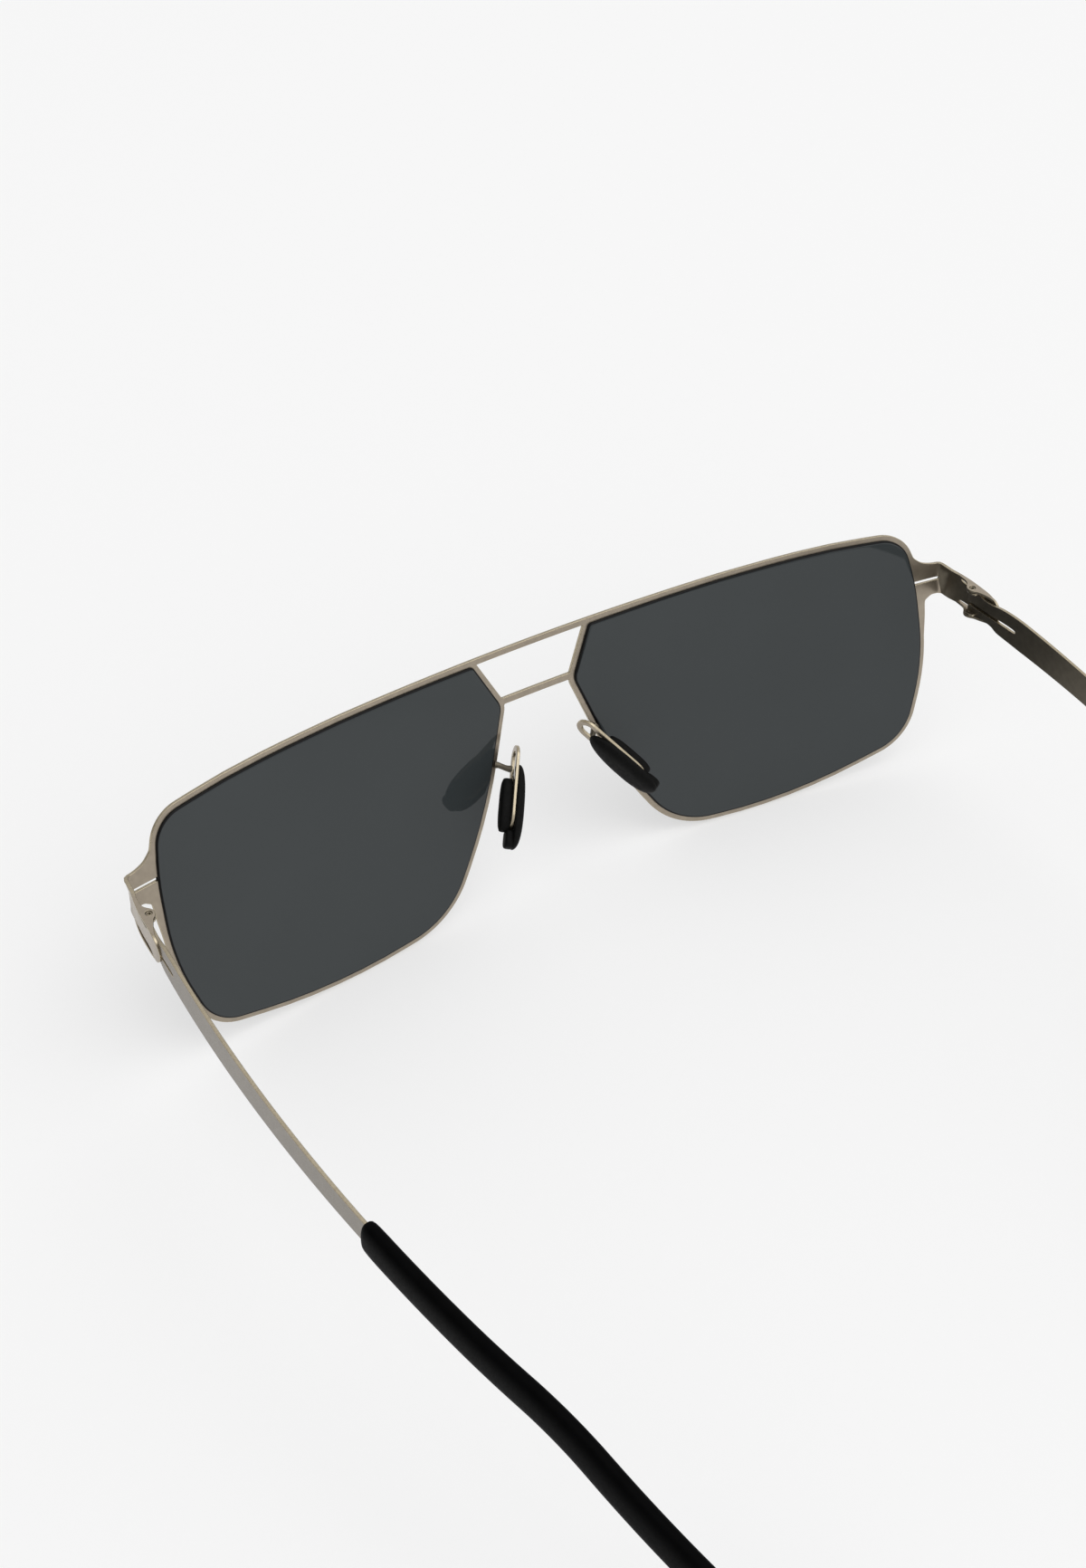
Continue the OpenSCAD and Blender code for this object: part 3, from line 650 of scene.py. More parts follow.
def lens_window(course, rim_w):
    """Outline of the hole for one lens, with the slit that runs from it through the lug."""
    hole = rim_path(rim_w)
    cut_from = next(i for i in range(len(hole)) if hole[i, 0] > OUTER_SIDE and hole[i, 1] < SLIT_HIGH)
    before = hole[:cut_from]
    after = np.vstack([p for p in hole[cut_from:] if not (p[0] > OUTER_SIDE and p[1] > SLIT_LOW)])
    x_at = float(before[-1, 0])
    end = course[0] - 0.05
    slit = [(x_at, SLIT_HIGH), (end, SLIT_HIGH), (end + 0.15, (SLIT_LOW + SLIT_HIGH) / 2)]
    slit += [(end, SLIT_LOW), (x_at, SLIT_LOW)]
    return np.vstack([before, slit, after])


class SUNGLASSES_OT_front(Operator):
    """Make the front: rims, bars, lugs, bends, tongues and ears of one sheet"""

    bl_idname = "sunglasses.front"
    bl_label = "Front sheet"

    def execute(self, context):
        s = context.scene.sunglasses_sheet
        course = blank_course()
        half = front_outline(course)
        outline = densify(np.vstack([half, (half * (-1, 1))[::-1][1:-1]]), 0.9)
        window = densify(bridge_window(), 0.7)
        hole = densify(lens_window(course, s.rim_width / MM), 0.9)
        m = Maker()
        loops = [outline, window, hole, hole * (-1, 1)]
        m.plate(loops, s.thickness / MM, s.edge / MM, front_place(course))
        for side in (1, -1):
            for top in (1, -1):
                self.ear(m, side, top)
        # The faces of the lugs and tongues that look at the head get painted shade.
        paint_shade_inside(m.make("front_sheet", "front", champagne_metal(), ["front_frame"]), LUG_X - 2)
        return {"FINISHED"}

    @staticmethod
    def ear(m, side, top):
        """A flap bent inward from the plate, with its round hole."""
        ax, ay = AXIS
        shape = soften([(ax + q[0], ay + q[1]) for q in EAR], 2)

        def place(flat, depth):
            curl = 0.3 * np.clip((flat[:, 1] - ay - 1.9) / 2.2, 0, 1) ** 2
            z = LUG_H / 2 - depth - curl
            return np.stack([flat[:, 0] * side, flat[:, 1] + BASE_Y, BASE_Z + top * z], 1)

        m.plate([densify(shape, 0.3), circle(AXIS, EAR_HOLE_R, 32)], TONGUE_T, EAR_EDGE, place)


# Lenses


class SUNGLASSES_OT_lenses(Operator):
    """Make both lenses with their lips, groove and chamfers"""

    bl_idname = "sunglasses.lenses"
    bl_label = "Lenses"

    def execute(self, context):
        s = context.scene.sunglasses_lens
        rim_front = WRAP + sheet_thickness()
        back, front = WRAP - s.proud_back / MM, rim_front + s.proud_front / MM
        c = s.chamfer / MM
        loop = densify(rim_path(context.scene.sunglasses_sheet.rim_width / MM - LENS_LAP), 0.8)
        out, miter = outward_of(loop[::-1])
        out, miter = out[::-1], miter[::-1]
        centre = loop.mean(0)

        def ring(inset, r, share=1.0):
            flat = loop - out * miter * inset
            flat = centre + (flat - centre) * share
            return on_front(flat[:, 0], shell_depth(flat[:, 0], r), flat[:, 1])

        shares = [0.02, 0.12, 0.24, 0.36, 0.48, 0.6, 0.7, 0.79, 0.86, 0.92, 0.96, 0.985]
        groove = [(0, rim_front + SEAT_GAP), (LENS_GROOVE, rim_front + SEAT_GAP)]
        groove += [(LENS_GROOVE, WRAP - SEAT_GAP), (0, WRAP - SEAT_GAP)]
        edge = [(c * a, front - b) for a, b in ((1.6, 0), (1.1, 0.012), (0.7, 0.07), (0.25, 0.2))]
        edge += [(0.03, front - 0.33), (0, front - 0.42)] + groove + [(0, back + 0.24), (0.02, back + 0.18)]
        edge += [(c * a, back + b) for a, b in ((0.2, 0.12), (0.6, 0.05), (1.1, 0.012), (1.6, 0))]
        rings = [ring(c * 1.6, front, k) for k in shares]
        rings += [ring(inset, r) for inset, r in edge]
        rings += [ring(c * 1.6, back, k) for k in reversed(shares)]
        m = Maker()
        m.rings(rings)
        first, last = len(shares) + 2, len(rings) - len(shares) - 1
        for name, mirror in (("lens_left", False), ("lens_right", True)):
            lens = m.make(name + "_shaped", "front", lens_glass(), [name], sharp=50, mirror=mirror)
            lens.data.materials.append(lens_edge())
            for face in lens.data.polygons:
                if first <= min(face.vertices) // len(loop) and max(face.vertices) // len(loop) <= last:
                    face.material_index = 1
        return {"FINISHED"}


# Nose pads


def pad_place(side):
    """Puts points of the pad's own frame (across, towards the nose, along) into the row's frame."""
    x, y, z = (Matrix.Rotation(math.radians(a), 3, axis) for a, axis in zip(PAD_TURNS, "XYZ"))
    spin = np.array(z @ y @ x)

    def place(p):
        q = np.asarray(p, float) @ spin.T + PAD_MID
        out = on_front(q[..., 0], q[..., 1], q[..., 2])
        out[..., 0] *= side
        return out

    return place


class SUNGLASSES_OT_pad_arms(Operator):
    """Make the metal arms and the loops that carry the nose pads"""

    bl_idname = "sunglasses.pad_arms"
    bl_label = "Pad arms"

    def execute(self, context):
        low = LOOP_UP - LOOP_LEN
        band = oblong(LOOP_W - 2 * LOOP_BAND, low + LOOP_BAND, LOOP_UP - LOOP_BAND)
        loops = [densify(outline, 0.6) for outline in (oblong(LOOP_W, low, LOOP_UP), band)]
        x, z = -LOOP_W / 2 + 0.45, LOOP_UP - STEM_BELOW_TOP
        course = soften([(x + a, b, z + c) for a, b, c in STEM_BENDS], 2, False)
        wide = STEM_W * (1 + 0.35 * np.abs(np.linspace(-1, 1, len(course))) ** 3)
        for name, side in (("pad_arm_left", 1), ("pad_arm_right", -1)):
            put = pad_place(side)

            def place(flat, depth):
                return put(np.stack([flat[:, 0], depth - LOOP_T / 2, flat[:, 1]], 1))

            stem = Maker()
            rings = [put(r) for r in tube(course, wide, np.array([1.0, 0, 0]))]
            stem.rings(rings if side > 0 else [r[::-1] for r in rings])
            loop = Maker()
            loop.plate(loops, LOOP_T, 0.1, place)
            pieces = [
                # The stem gets the darker metal as painted shade; the loop keeps the metal colour.
                stem.make(name + "_stem", "front", shaded_inner_metal(), [name], sharp=60),
                loop.make(name + "_loop", "front", champagne_metal(), [name]),
            ]
        return {"FINISHED"}


class SUNGLASSES_OT_nose_pads(Operator):
    """Make the soft nose pads round their loops"""

    bl_idname = "sunglasses.nose_pads"
    bl_label = "Nose pads"

    def execute(self, context):
        s = context.scene.sunglasses_pad
        length, width, thick = s.length / MM, s.width / MM, s.thickness / MM
        low = PAD_UP - length
        face = LOOP_T / 2 + SEAT_GAP
        for name, side in (("nose_pad_left", 1), ("nose_pad_right", -1)):
            m = Maker()
            self.body(m, side, low, width, thick, face)
            self.block(m, side, face)
            self.foot(m, side, low, thick, face)
            pad = m.make(name + "_soft", "front", silicone(), [name], sharp=75)
        return {"FINISHED"}

    @staticmethod
    def outline(low, high, width, blunt_low=2.6, blunt_high=2.2, n=64):
        """A long oval that is fuller below its middle."""
        out = []
        mid, half = (low + high) / 2, (high - low) / 2
        for a in np.linspace(0, 2 * math.pi, n + 1)[:-1]:
            power = blunt_high if math.sin(a) > 0 else blunt_low
            z = bulge(math.sin(a), power)
            out.append((bulge(math.cos(a), power) * width / 2 * (1 - 0.06 * z), mid + half * z))
        return np.array(out)

    @staticmethod
    def skin(m, side, loop, rows, along=lambda share: share, to_nose=False):
        """Closed skin over one outline, each row as (share of the outline, height towards the nose)."""
        put = pad_place(side)
        centre = loop.mean(0)
        rings = []
        for share, high in rows:
            flat = centre + (loop - centre) * (share, along(share))
            ring = put(np.stack([flat[:, 0], np.full(len(flat), high), flat[:, 1]], 1))
            rings.append(ring[::-1] if to_nose == (side > 0) else ring)
        m.rings(rings)

    def body(self, m, side, low, width, thick, face):
        """The crowned body on the nose side."""
        rows = [(0.90, face), (0.955, face + 0.03), (0.985, face + 0.12), (1.0, face + 0.3)]
        for k in np.linspace(0.1, 1, 9):
            a = k * math.pi / 2
            share = 0.30 + 0.70 * math.cos(a) ** 0.8 if k < 1 else 0.3
            rows.append((share, face + 0.3 + (thick - 0.3) * math.sin(a) ** 0.9))
        rows.append((0.1, face + thick + 0.01))
        self.skin(m, side, self.outline(low, PAD_UP, width), rows, to_nose=True)

    def block(self, m, side, face):
        """The block on the lens side, with its neck through the loop."""
        loop = self.outline(-6.5, 1.7, 2.9, 3.2, 3.2)
        rows = [(0.72, 0.1), (0.74, -face)]
        rounded = (
            (0.97, 0.02), (1.0, 0.12), (1.0, 0.8), (0.99, 1.0),
            (0.95, 1.25), (0.86, 1.42), (0.7, 1.5), (0.2, 1.53),
        )
        rows += [(share, -face - d) for share, d in rounded]
        self.skin(m, side, loop, rows, lambda share: share if share < 0.9 else 1 - (1 - share) * 0.45)

    def foot(self, m, side, low, thick, face):
        """The closed end below the loop, which reaches back level with the loop's lens side."""
        loop = self.outline(low + 0.05, LOOP_UP - LOOP_LEN - SEAT_GAP - 0.02, 2.9, 2.6, 4.5)
        rows = [(0.9, face + thick * 0.25), (1.0, face), (1.0, -0.2), (0.99, -0.42)]
        rows += [(0.95, -0.58), (0.86, -0.68), (0.3, -0.7)]
        self.skin(m, side, loop, rows)


# Temples and their tips


def bend_slope():
    """Slope of the temple where the bend behind the ear begins."""
    return math.atan(2 * SAG * (EAR_FROM - SAG_FROM))


def drop_start():
    """Where the straight drop behind the ear begins: back from the bend, height over the base."""
    z = -SAG * (EAR_FROM - SAG_FROM) ** 2
    a = bend_slope()
    back = EAR_FROM + EAR_R * (math.sin(EAR_DROP) - math.sin(a))
    return back, z - EAR_R * (math.cos(a) - math.cos(EAR_DROP))


def tip_end(sleeve_h):
    """Middle of the sleeve's round end, which rests on the floor."""
    y, z = drop_start()
    tip_z = sleeve_h / 2 - BASE_Z
    return y + (z - tip_z) / math.tan(EAR_DROP), tip_z


def side_course(y):
    """Height of the temple's middle line over the base, and its slope, y back from the bend."""
    y = np.asarray(y, float)
    yd, zd = drop_start()
    a0 = bend_slope()
    s = np.clip(y - SAG_FROM, 0, None)
    near = -SAG * s ** 2
    turn = np.arcsin(np.clip((y - EAR_FROM) / EAR_R + math.sin(a0), -1, 1))
    mid = -SAG * (EAR_FROM - SAG_FROM) ** 2 - EAR_R * (math.cos(a0) - np.cos(turn))
    far = zd - (y - yd) * math.tan(EAR_DROP)
    z = np.where(y < EAR_FROM, near, np.where(y < yd, mid, far))
    slope = np.where(y < EAR_FROM, np.arctan(2 * SAG * s), np.where(y < yd, turn, EAR_DROP))
    return z, slope


def strip_height(y, tip_y):
    """Height of the metal strip, y back from the bend."""
    y = np.asarray(y, float)
    share = (y - FULL_HEIGHT_BACK) / (SLEEVE_FROM - FULL_HEIGHT_BACK)
    front = TEMPLE_H + (TEMPLE_H_MID - TEMPLE_H) * share
    rear = TEMPLE_H_MID + (TEMPLE_H_END - TEMPLE_H_MID) * (y - SLEEVE_FROM) / (tip_y - SLEEVE_FROM)
    return np.where(y < SLEEVE_FROM, front, rear)


def temple_outline(sleeve_h):
    """Outline of the strip and its fork from the side, as far as it shows before the sleeve."""
    tip_y, _ = tip_end(sleeve_h)
    ys = np.concatenate([np.linspace(FULL_HEIGHT_BACK, SLEEVE_FROM - 1, 40), np.linspace(67.5, 72, 5)])
    mid, slope = side_course(ys)
    h = strip_height(ys, tip_y) / 2
    top = np.stack([ys + h * np.sin(slope), mid + h * np.cos(slope)], 1)
    low = np.stack([ys - h * np.sin(slope), mid - h * np.cos(slope)], 1)
    front = AXIS[1] - 0.6
    head = [(front, 0.6), (front, ARM_TOP - 0.3), (front + 0.3, ARM_TOP)]
    chin = [(front + 0.3, -ARM_TOP), (front, -ARM_TOP + 0.3), (front, -1.2)]
    over = soften(head + list(ARM_OVER) + [tuple(top[0])], 2, False)
    under = soften([tuple(low[0])] + list(ARM_UNDER) + chin, 2, False)
    mouth = [(front, -0.96), (front + 0.15, -0.86)]
    slot = soften(mouth + list(SLOT) + [(front + 0.2, -0.3), (front, -0.1)], 2, False)
    return densify(np.vstack([over, top[1:], low[::-1], under[1:], slot]), 1.2)


class SUNGLASSES_OT_temples(Operator):
    """Make the forked metal temples with the tabs and collars of the hinge"""

    bl_idname = "sunglasses.temples"
    bl_label = "Temples"

    def execute(self, context):
        outline = temple_outline(context.scene.sunglasses_tip.height / MM)
        edge = context.scene.sunglasses_sheet.edge / MM
        for name, side, body in (("temple_left", 1, "left_temple"), ("temple_right", -1, "right_temple")):

            def place(flat, depth):
                x = side * bow_x(flat[:, 0], depth)
                return np.stack([x, flat[:, 0] + BASE_Y, flat[:, 1] + BASE_Z], 1)

            m = Maker()
            m.plate([outline], TEMPLE_T, edge, place)
            for up in (1, -1):
                self.tab(m, side, up)
            # The temple's metal is the front's colour at half depth, as painted shade, and its faces that
            # look at the head get the darker painted shade too.
            paint_shade_inside(m.make(name + "_strip", body, champagne_metal("temple_metal_painted_shade", 0.5), [name]))
        return {"FINISHED"}

    @staticmethod
    def tab(m, side, up):
        """A tab at the end of one arm, with the collar that turns in the ear's hole."""
        ax, ay = AXIS
        turn = [math.radians(a) for a in range(0, -151, -10)]
        shape = [(ax + TAB_R * math.cos(a), ay + TAB_R * math.sin(a)) for a in turn]
        shape += [(ax + q[0], ay + q[1]) for q in TAB]
        bore = circle(AXIS, COLLAR_BORE_R, 24)

        def at(top):
            def place(flat, depth):
                return np.stack([side * flat[:, 0], flat[:, 1] + BASE_Y, BASE_Z + up * (top - depth)], 1)
            return place

        m.plate([np.array(shape), bore], TAB_T, TAB_EDGE, at(ARM_TOP - SEAT_GAP))
        m.plate([circle(AXIS, COLLAR_R, 32), bore], COLLAR_T, COLLAR_EDGE, at(LUG_H / 2 - COLLAR_BELOW_EAR))


class SUNGLASSES_OT_tips(Operator):
    """Make the sleeves on the temple ends"""

    bl_idname = "sunglasses.tips"
    bl_label = "Tip sleeves"

    def execute(self, context):
        s = context.scene.sunglasses_tip
        high, thick = s.height / MM, s.thickness / MM
        m = Maker()
        m.rings(self.sleeve(high, thick))
        for name, mirror, body in (
            ("temple_tip_left", False, "left_temple"), ("temple_tip_right", True, "right_temple"),
        ):
            tip = m.make(name + "_sleeve", body, black_sleeve(), [name], sharp=70, mirror=mirror)
        return {"FINISHED"}

    @staticmethod
    def sleeve(high, thick, n=36, power=2.7):
        """Rings of the left sleeve: a rounded mouth, the long body and a round end."""
        tip_y, tip_z = tip_end(high)
        mouth = [(0.0, 0.50), (0.10, 0.72), (0.35, 0.86), (0.8, 0.94), (1.6, 0.98), (3.2, 1.0)]
        rows = [(SLEEVE_FROM + q, k) for q, k in mouth]
        rows += [(y, 1.0) for y in np.linspace(SLEEVE_FROM + 4.5, tip_y, 66)]
        path, widths, heights = [], [], []
        for y, k in rows:
            path.append((float(bow_x(y, TEMPLE_T / 2)), y, float(side_course(y)[0])))
            widths.append(thick * (0.25 + 0.75 * k))
            heights.append(high * (0.42 + 0.58 * k))
        for a in np.arange(1, 9) * math.pi / 16:
            q = high / 2 * math.sin(a)
            y = tip_y + q * math.cos(EAR_DROP)
            path.append((float(bow_x(y, TEMPLE_T / 2)), y, tip_z - q * math.sin(EAR_DROP)))
            widths.append(thick * max(math.cos(a), 0.05) ** 0.7)
            heights.append(high * max(math.cos(a), 0.02))
        path = np.array(path)
        run = unit(np.gradient(path, axis=0))
        a = np.linspace(0, 2 * math.pi, n + 1)[:-1] + math.pi / n
        cx, sy = bulge(np.cos(a), power), bulge(np.sin(a), power)
        rings = []
        for p, d, w, h in zip(path, run, widths, heights):
            plan = unit(np.array([d[0], d[1], 0]))
            u = np.array([plan[1], -plan[0], 0])
            v = unit(np.cross(u, d))
            rings.append(p + np.outer(cx * w / 2, u) + np.outer(sy * h / 2, v) + (0, BASE_Y, BASE_Z))
        return rings


# Finishes


def finished(name, dress):
    """The material of this name. dress(tree, shader, coords) fills it the first time it is asked for."""
    mat = bpy.data.materials.get(name)
    if mat is None:
        mat = bpy.data.materials.new(name)
        mat.use_nodes = True
        tree = mat.node_tree
        shader = next(n for n in tree.nodes if n.type == "BSDF_PRINCIPLED")
        dress(tree, shader, tree.nodes.new("ShaderNodeTexCoord").outputs["Object"])
    return mat


def noise(tree, coords, scale, detail=2.0, rough=0.5):
    """A noise texture on the piece's own coordinates, in metres."""
    tex = tree.nodes.new("ShaderNodeTexNoise")
    tex.inputs["Scale"].default_value = scale
    tex.inputs["Detail"].default_value = detail
    tex.inputs["Roughness"].default_value = rough
    tree.links.new(coords, tex.inputs["Vector"])
    return tex.outputs["Fac"]


def rough_between(tree, shader, fac, low, high):
    """Roughness that wanders between two values."""
    node = tree.nodes.new("ShaderNodeMapRange")
    node.inputs["From Min"].default_value = 0.3
    node.inputs["From Max"].default_value = 0.7
    node.inputs["To Min"].default_value = low
    node.inputs["To Max"].default_value = high
    tree.links.new(fac, node.inputs["Value"])
    tree.links.new(node.outputs["Result"], shader.inputs["Roughness"])


def bump(tree, shader, height, distance, strength):
    """Fine relief, distance metres high."""
    node = tree.nodes.new("ShaderNodeBump")
    node.inputs["Distance"].default_value = distance
    node.inputs["Strength"].default_value = strength
    tree.links.new(height, node.inputs["Height"])
    tree.links.new(node.outputs["Normal"], shader.inputs["Normal"])


def two_tone(tree, shader, fac, colour, low, high):
    """Base colour that wanders between two depths of one colour."""
    ramp = tree.nodes.new("ShaderNodeValToRGB")
    for element, position, depth in zip(ramp.color_ramp.elements, (0.3, 0.7), (low, high)):
        element.position = position
        element.color = (*np.clip(np.array(colour) * depth, 0, 1), 1)
    tree.links.new(fac, ramp.inputs["Fac"])
    tree.links.new(ramp.outputs["Color"], shader.inputs["Base Color"])


def champagne_metal(name="satin_champagne_metal", depth=1.0):
    """Satin champagne-grey coat on sheet metal, with a very fine grain. A depth below one darkens the
    colour as painted shade.
    """
    s = bpy.context.scene.sunglasses_sheet

    def dress(tree, shader, coords):
        two_tone(tree, shader, noise(tree, coords, 900, 3), np.array(s.colour) * depth, 0.93, 1.06)
        grain = noise(tree, coords, 5200, 2, 0.6)
        rough_between(tree, shader, grain, s.roughness - 0.04, s.roughness + 0.06)
        bump(tree, shader, grain, 0.000012, 0.35)
        shader.inputs["Metallic"].default_value = 0.92
        shader.inputs["Coat Weight"].default_value = 0.12
        shader.inputs["Coat Roughness"].default_value = 0.25

    return finished(name, dress)


def shaded_inner_metal():
    """Darker metal for the sides that face the head: painted shade, since these sides lie in shade."""
    s = bpy.context.scene.sunglasses_sheet

    def dress(tree, shader, coords):
        two_tone(tree, shader, noise(tree, coords, 900, 3), s.inner_shade_colour, 0.9, 1.1)
        grain = noise(tree, coords, 5200, 2, 0.6)
        rough_between(tree, shader, grain, s.roughness - 0.02, s.roughness + 0.08)
        bump(tree, shader, grain, 0.000012, 0.35)
        shader.inputs["Metallic"].default_value = 0.9

    return finished("inner_painted_shade", dress)


def paint_shade_inside(piece, beyond=0.0):
    """Gives the painted-shade metal to the faces that look at the head, farther out than beyond
    millimetres.
    """
    piece.data.materials.append(shaded_inner_metal())
    for face in piece.data.polygons:
        x = face.center.x
        if abs(x) > beyond * MM and face.normal.x * x < -0.6 * abs(x):
            face.material_index = len(piece.data.materials) - 1


def cut_edge():
    """The cut edges of the sheet, lighter than its faces: partly the bare metal's own tone, partly painted
    highlight.
    """
    s = bpy.context.scene.sunglasses_sheet

    def dress(tree, shader, coords):
        grain = noise(tree, coords, 2600, 3, 0.6)
        two_tone(tree, shader, grain, s.edge_highlight_colour, 0.88, 1.1)
        rough_between(tree, shader, grain, 0.22, 0.34)
        bump(tree, shader, grain, 0.00001, 0.3)
        shader.inputs["Metallic"].default_value = 0.95

    return finished("cut_edge_painted_highlight", dress)


def lens_glass():
    """Smooth dark grey lens with the faintest unevenness."""
    s = bpy.context.scene.sunglasses_lens

    def dress(tree, shader, coords):
        two_tone(tree, shader, noise(tree, coords, 60, 2), s.colour, 0.97, 1.03)
        smear = noise(tree, coords, 140, 4, 0.55)
        rough_between(tree, shader, smear, s.roughness - 0.01, s.roughness + 0.012)
        shader.inputs["IOR"].default_value = 1.55
        shader.inputs["Specular IOR Level"].default_value = 0.3

    return finished("dark_tinted_lens", dress)


def lens_edge():
    """The ground edge of the lens: dull and almost black."""

    def dress(tree, shader, coords):
        grain = noise(tree, coords, 3000, 2)
        two_tone(tree, shader, grain, (0.002, 0.002, 0.0022), 1.0, 2.5)
        rough_between(tree, shader, grain, 0.38, 0.52)
        shader.inputs["Specular IOR Level"].default_value = 0.15

    return finished("ground_lens_edge", dress)


def silicone():
    """Matte black silicone with a fine moulded texture."""
    s = bpy.context.scene.sunglasses_pad

    def dress(tree, shader, coords):
        grain = noise(tree, coords, 3800, 3, 0.6)
        two_tone(tree, shader, grain, s.colour, 0.75, 1.4)
        rough_between(tree, shader, noise(tree, coords, 1500, 2), 0.46, 0.62)
        bump(tree, shader, grain, 0.00004, 0.5)
        shader.inputs["Specular IOR Level"].default_value = 0.06

    return finished("matte_black_silicone", dress)


def black_sleeve():
    """Satin black sleeve material."""
    s = bpy.context.scene.sunglasses_tip

    def dress(tree, shader, coords):
        two_tone(tree, shader, noise(tree, coords, 700, 3), s.colour, 0.8, 1.25)
        grain = noise(tree, coords, 2600, 2, 0.6)
        rough_between(tree, shader, grain, 0.42, 0.54)
        bump(tree, shader, grain, 0.00002, 0.3)
        shader.inputs["Specular IOR Level"].default_value = 0.02

    return finished("satin_black_sleeve", dress)


def pale_floor():
    """Matt white paper that is lit a little from below."""
    s = bpy.context.scene.sunglasses_studio

    def dress(tree, shader, coords):
        two_tone(tree, shader, noise(tree, coords, 400, 3), s.floor, 0.998, 1.002)
        shader.inputs["Roughness"].default_value = 0.9
        shader.inputs["Specular IOR Level"].default_value = 0.1
        shader.inputs["Emission Color"].default_value = (1, 1, 1, 1)
        shader.inputs["Emission Strength"].default_value = s.backlight

    return finished("pale_paper_floor", dress)


# Studio


def aim(obj, spot, x, y, z):
    """Puts an object at a spot in metres, with its own axes along x, y and z."""
    m = Matrix(np.column_stack([x, y, z]).tolist()).to_4x4()
    m.translation = spot
    obj.matrix_world = m
    bpy.context.scene.collection.objects.link(obj)


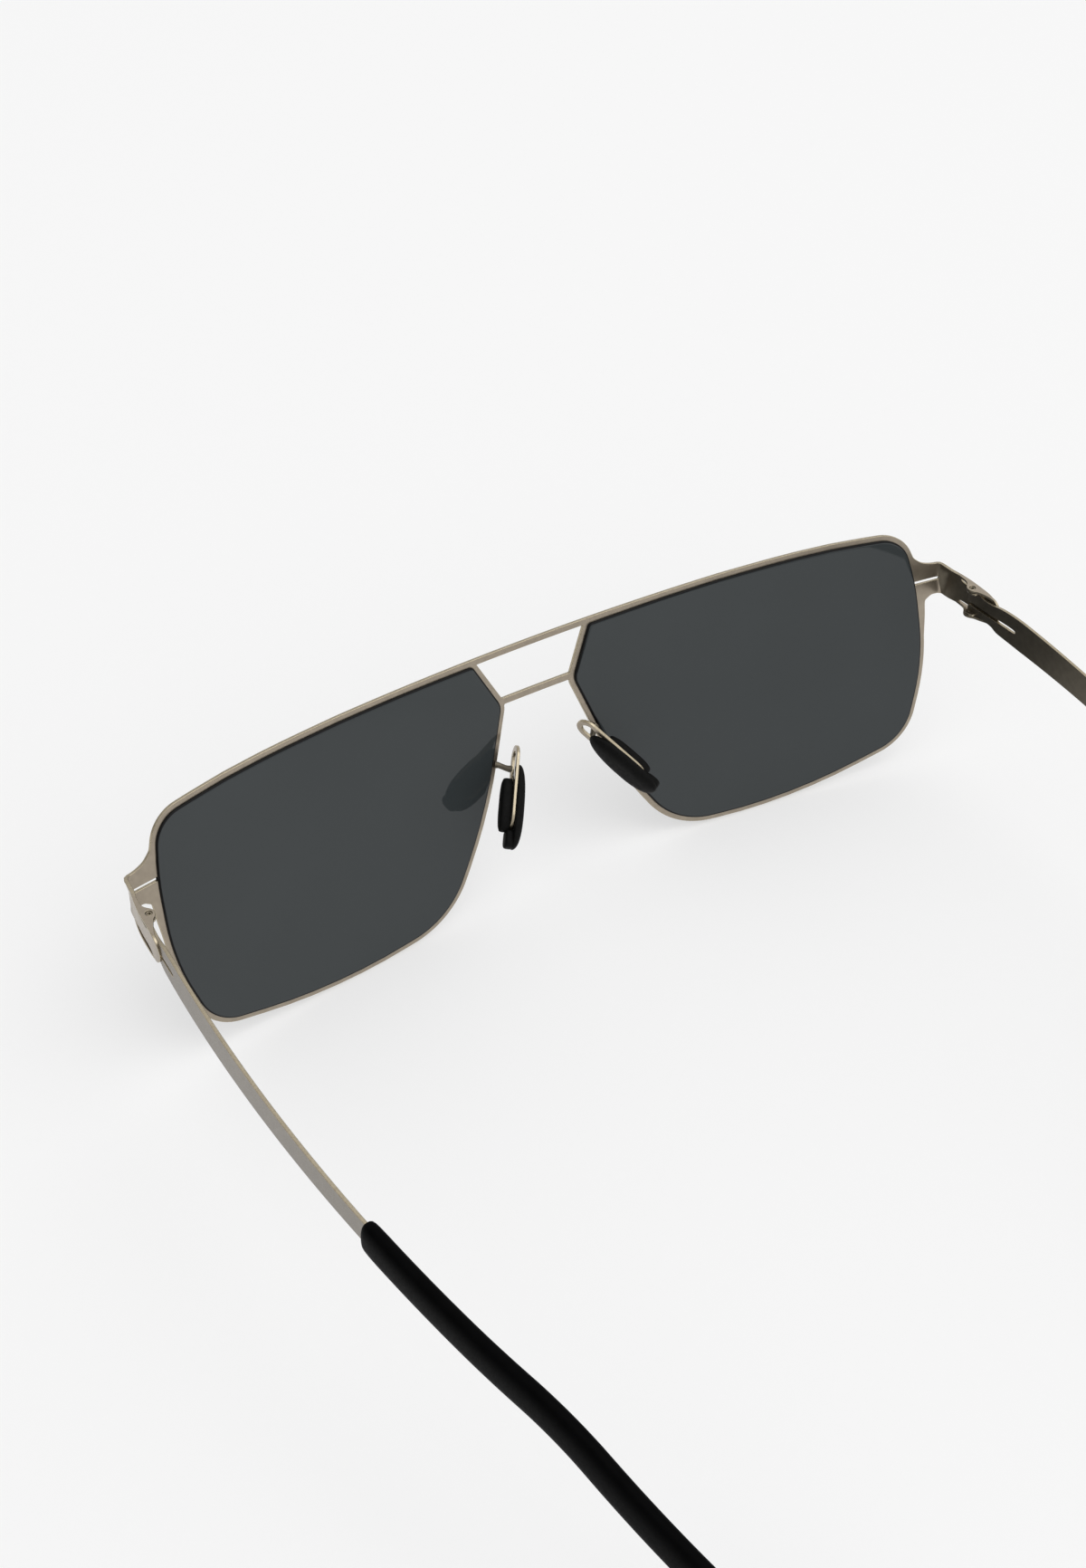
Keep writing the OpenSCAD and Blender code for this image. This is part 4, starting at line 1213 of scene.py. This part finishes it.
class SUNGLASSES_OT_studio(Operator):
    """Lay the pale floor and set the lights and the camera"""

    bl_idname = "sunglasses.studio"
    bl_label = "Studio"

    def execute(self, context):
        s = context.scene.sunglasses_studio
        context.scene.view_settings.view_transform = "Standard"
        context.scene.view_settings.look = "None"
        self.floor()
        self.room(context.scene, s)
        self.softbox(s.softbox)
        self.camera(context.scene, s.lens)
        return {"FINISHED"}

    @staticmethod
    def floor(size=16.0, n=9):
        """A square floor at height zero."""
        mesh = bpy.data.meshes.new("pale_floor")
        grid = np.linspace(-size / 2, size / 2, n)
        pts = [(x, y, 0.0) for y in grid for x in grid]
        starts = [j * n + i for j in range(n - 1) for i in range(n - 1)]
        mesh.from_pydata(pts, [], [(k, k + 1, k + n + 1, k + n) for k in starts])
        mesh.materials.append(pale_floor())
        obj = bpy.data.objects.new("pale_floor", mesh)
        bpy.context.scene.collection.objects.link(obj)

    @staticmethod
    def room(scene, s):
        """A white room that is brightest towards its windows."""
        world = bpy.data.worlds.new("bright_room")
        scene.world = world
        world.use_nodes = True
        tree = world.node_tree
        back = tree.nodes["Background"]
        back.inputs["Color"].default_value = (1, 1, 1, 1)
        dot = tree.nodes.new("ShaderNodeVectorMath")
        dot.operation = "DOT_PRODUCT"
        dot.inputs[1].default_value = unit(np.array(WINDOWS_AT))
        tree.links.new(tree.nodes.new("ShaderNodeTexCoord").outputs["Generated"], dot.inputs[0])
        level = tree.nodes.new("ShaderNodeMapRange")
        level.inputs["From Min"].default_value = -1.0
        level.inputs["To Min"].default_value = s.daylight * s.dim_side
        level.inputs["To Max"].default_value = s.daylight * (2 - s.dim_side)
        tree.links.new(dot.outputs["Value"], level.inputs["Value"])
        tree.links.new(level.outputs["Result"], back.inputs["Strength"])

    @staticmethod
    def softbox(power, spot=(-0.5, 0.6, 2.0), size=(1.6, 1.2)):
        """A large light overhead that looks at the origin."""
        light = bpy.data.lights.new("overhead_softbox", "AREA")
        light.shape = "RECTANGLE"
        light.size, light.size_y = size
        light.energy = power
        z = unit(np.array(spot))
        x = unit(np.cross((0, 0, 1), z))
        aim(bpy.data.objects.new("overhead_softbox", light), spot, x, np.cross(z, x), z)

    @staticmethod
    def camera(scene, lens):
        """The camera of the photograph."""
        az, el, roll = (math.radians(a) for a in CAMERA_TURN)
        z = np.array([math.sin(az) * math.cos(el), -math.cos(az) * math.cos(el), math.sin(el)])
        x = unit(np.cross((0, 0, 1), z))
        y = np.cross(z, x)
        c, q = math.cos(roll), math.sin(roll)
        x, y = c * x + q * y, -q * x + c * y
        cam = bpy.data.cameras.new("photo_camera")
        cam.sensor_fit = "VERTICAL"
        cam.sensor_height = 36.0
        cam.lens = lens
        cam.clip_start, cam.clip_end = 0.005, 20
        obj = bpy.data.objects.new("photo_camera", cam)
        aim(obj, tuple(np.array(CAMERA_SPOT) * MM), x, y, z)
        scene.camera = obj


# Add-on


class SUNGLASSES_PT_panel(Panel):
    """Lists the pieces and their settings"""

    bl_idname = "SUNGLASSES_PT_panel"
    bl_label = "Sunglasses"
    bl_space_type = "VIEW_3D"
    bl_region_type = "UI"
    bl_category = "Sunglasses"

    def draw(self, context):
        for name, group in SETTINGS:
            box = self.layout.box()
            for key in group.__annotations__:
                box.prop(getattr(context.scene, name), key)
        for op in OPERATORS:
            self.layout.operator(op.bl_idname)


SETTINGS = (
    ("sunglasses_sheet", SheetSettings),
    ("sunglasses_lens", LensSettings),
    ("sunglasses_pad", PadSettings),
    ("sunglasses_tip", TipSettings),
    ("sunglasses_studio", StudioSettings),
)
OPERATORS = (
    SUNGLASSES_OT_studio,
    SUNGLASSES_OT_front,
    SUNGLASSES_OT_lenses,
    SUNGLASSES_OT_pad_arms,
    SUNGLASSES_OT_nose_pads,
    SUNGLASSES_OT_temples,
    SUNGLASSES_OT_tips,
)


def register():
    for name, group in SETTINGS:
        bpy.utils.register_class(group)
        setattr(bpy.types.Scene, name, PointerProperty(type=group))
    for cls in OPERATORS + (SUNGLASSES_PT_panel,):
        bpy.utils.register_class(cls)


def unregister():
    for cls in reversed(OPERATORS + (SUNGLASSES_PT_panel,)):
        bpy.utils.unregister_class(cls)
    for name, group in reversed(SETTINGS):
        delattr(bpy.types.Scene, name)
        bpy.utils.unregister_class(group)


def main():
    register()
    bpy.ops.sunglasses.studio()
    bpy.ops.sunglasses.front()
    bpy.ops.sunglasses.lenses()
    bpy.ops.sunglasses.pad_arms()
    bpy.ops.sunglasses.nose_pads()
    bpy.ops.sunglasses.temples()
    bpy.ops.sunglasses.tips()
    bpy.context.view_layer.update()


if __name__ == "__main__":
    main()
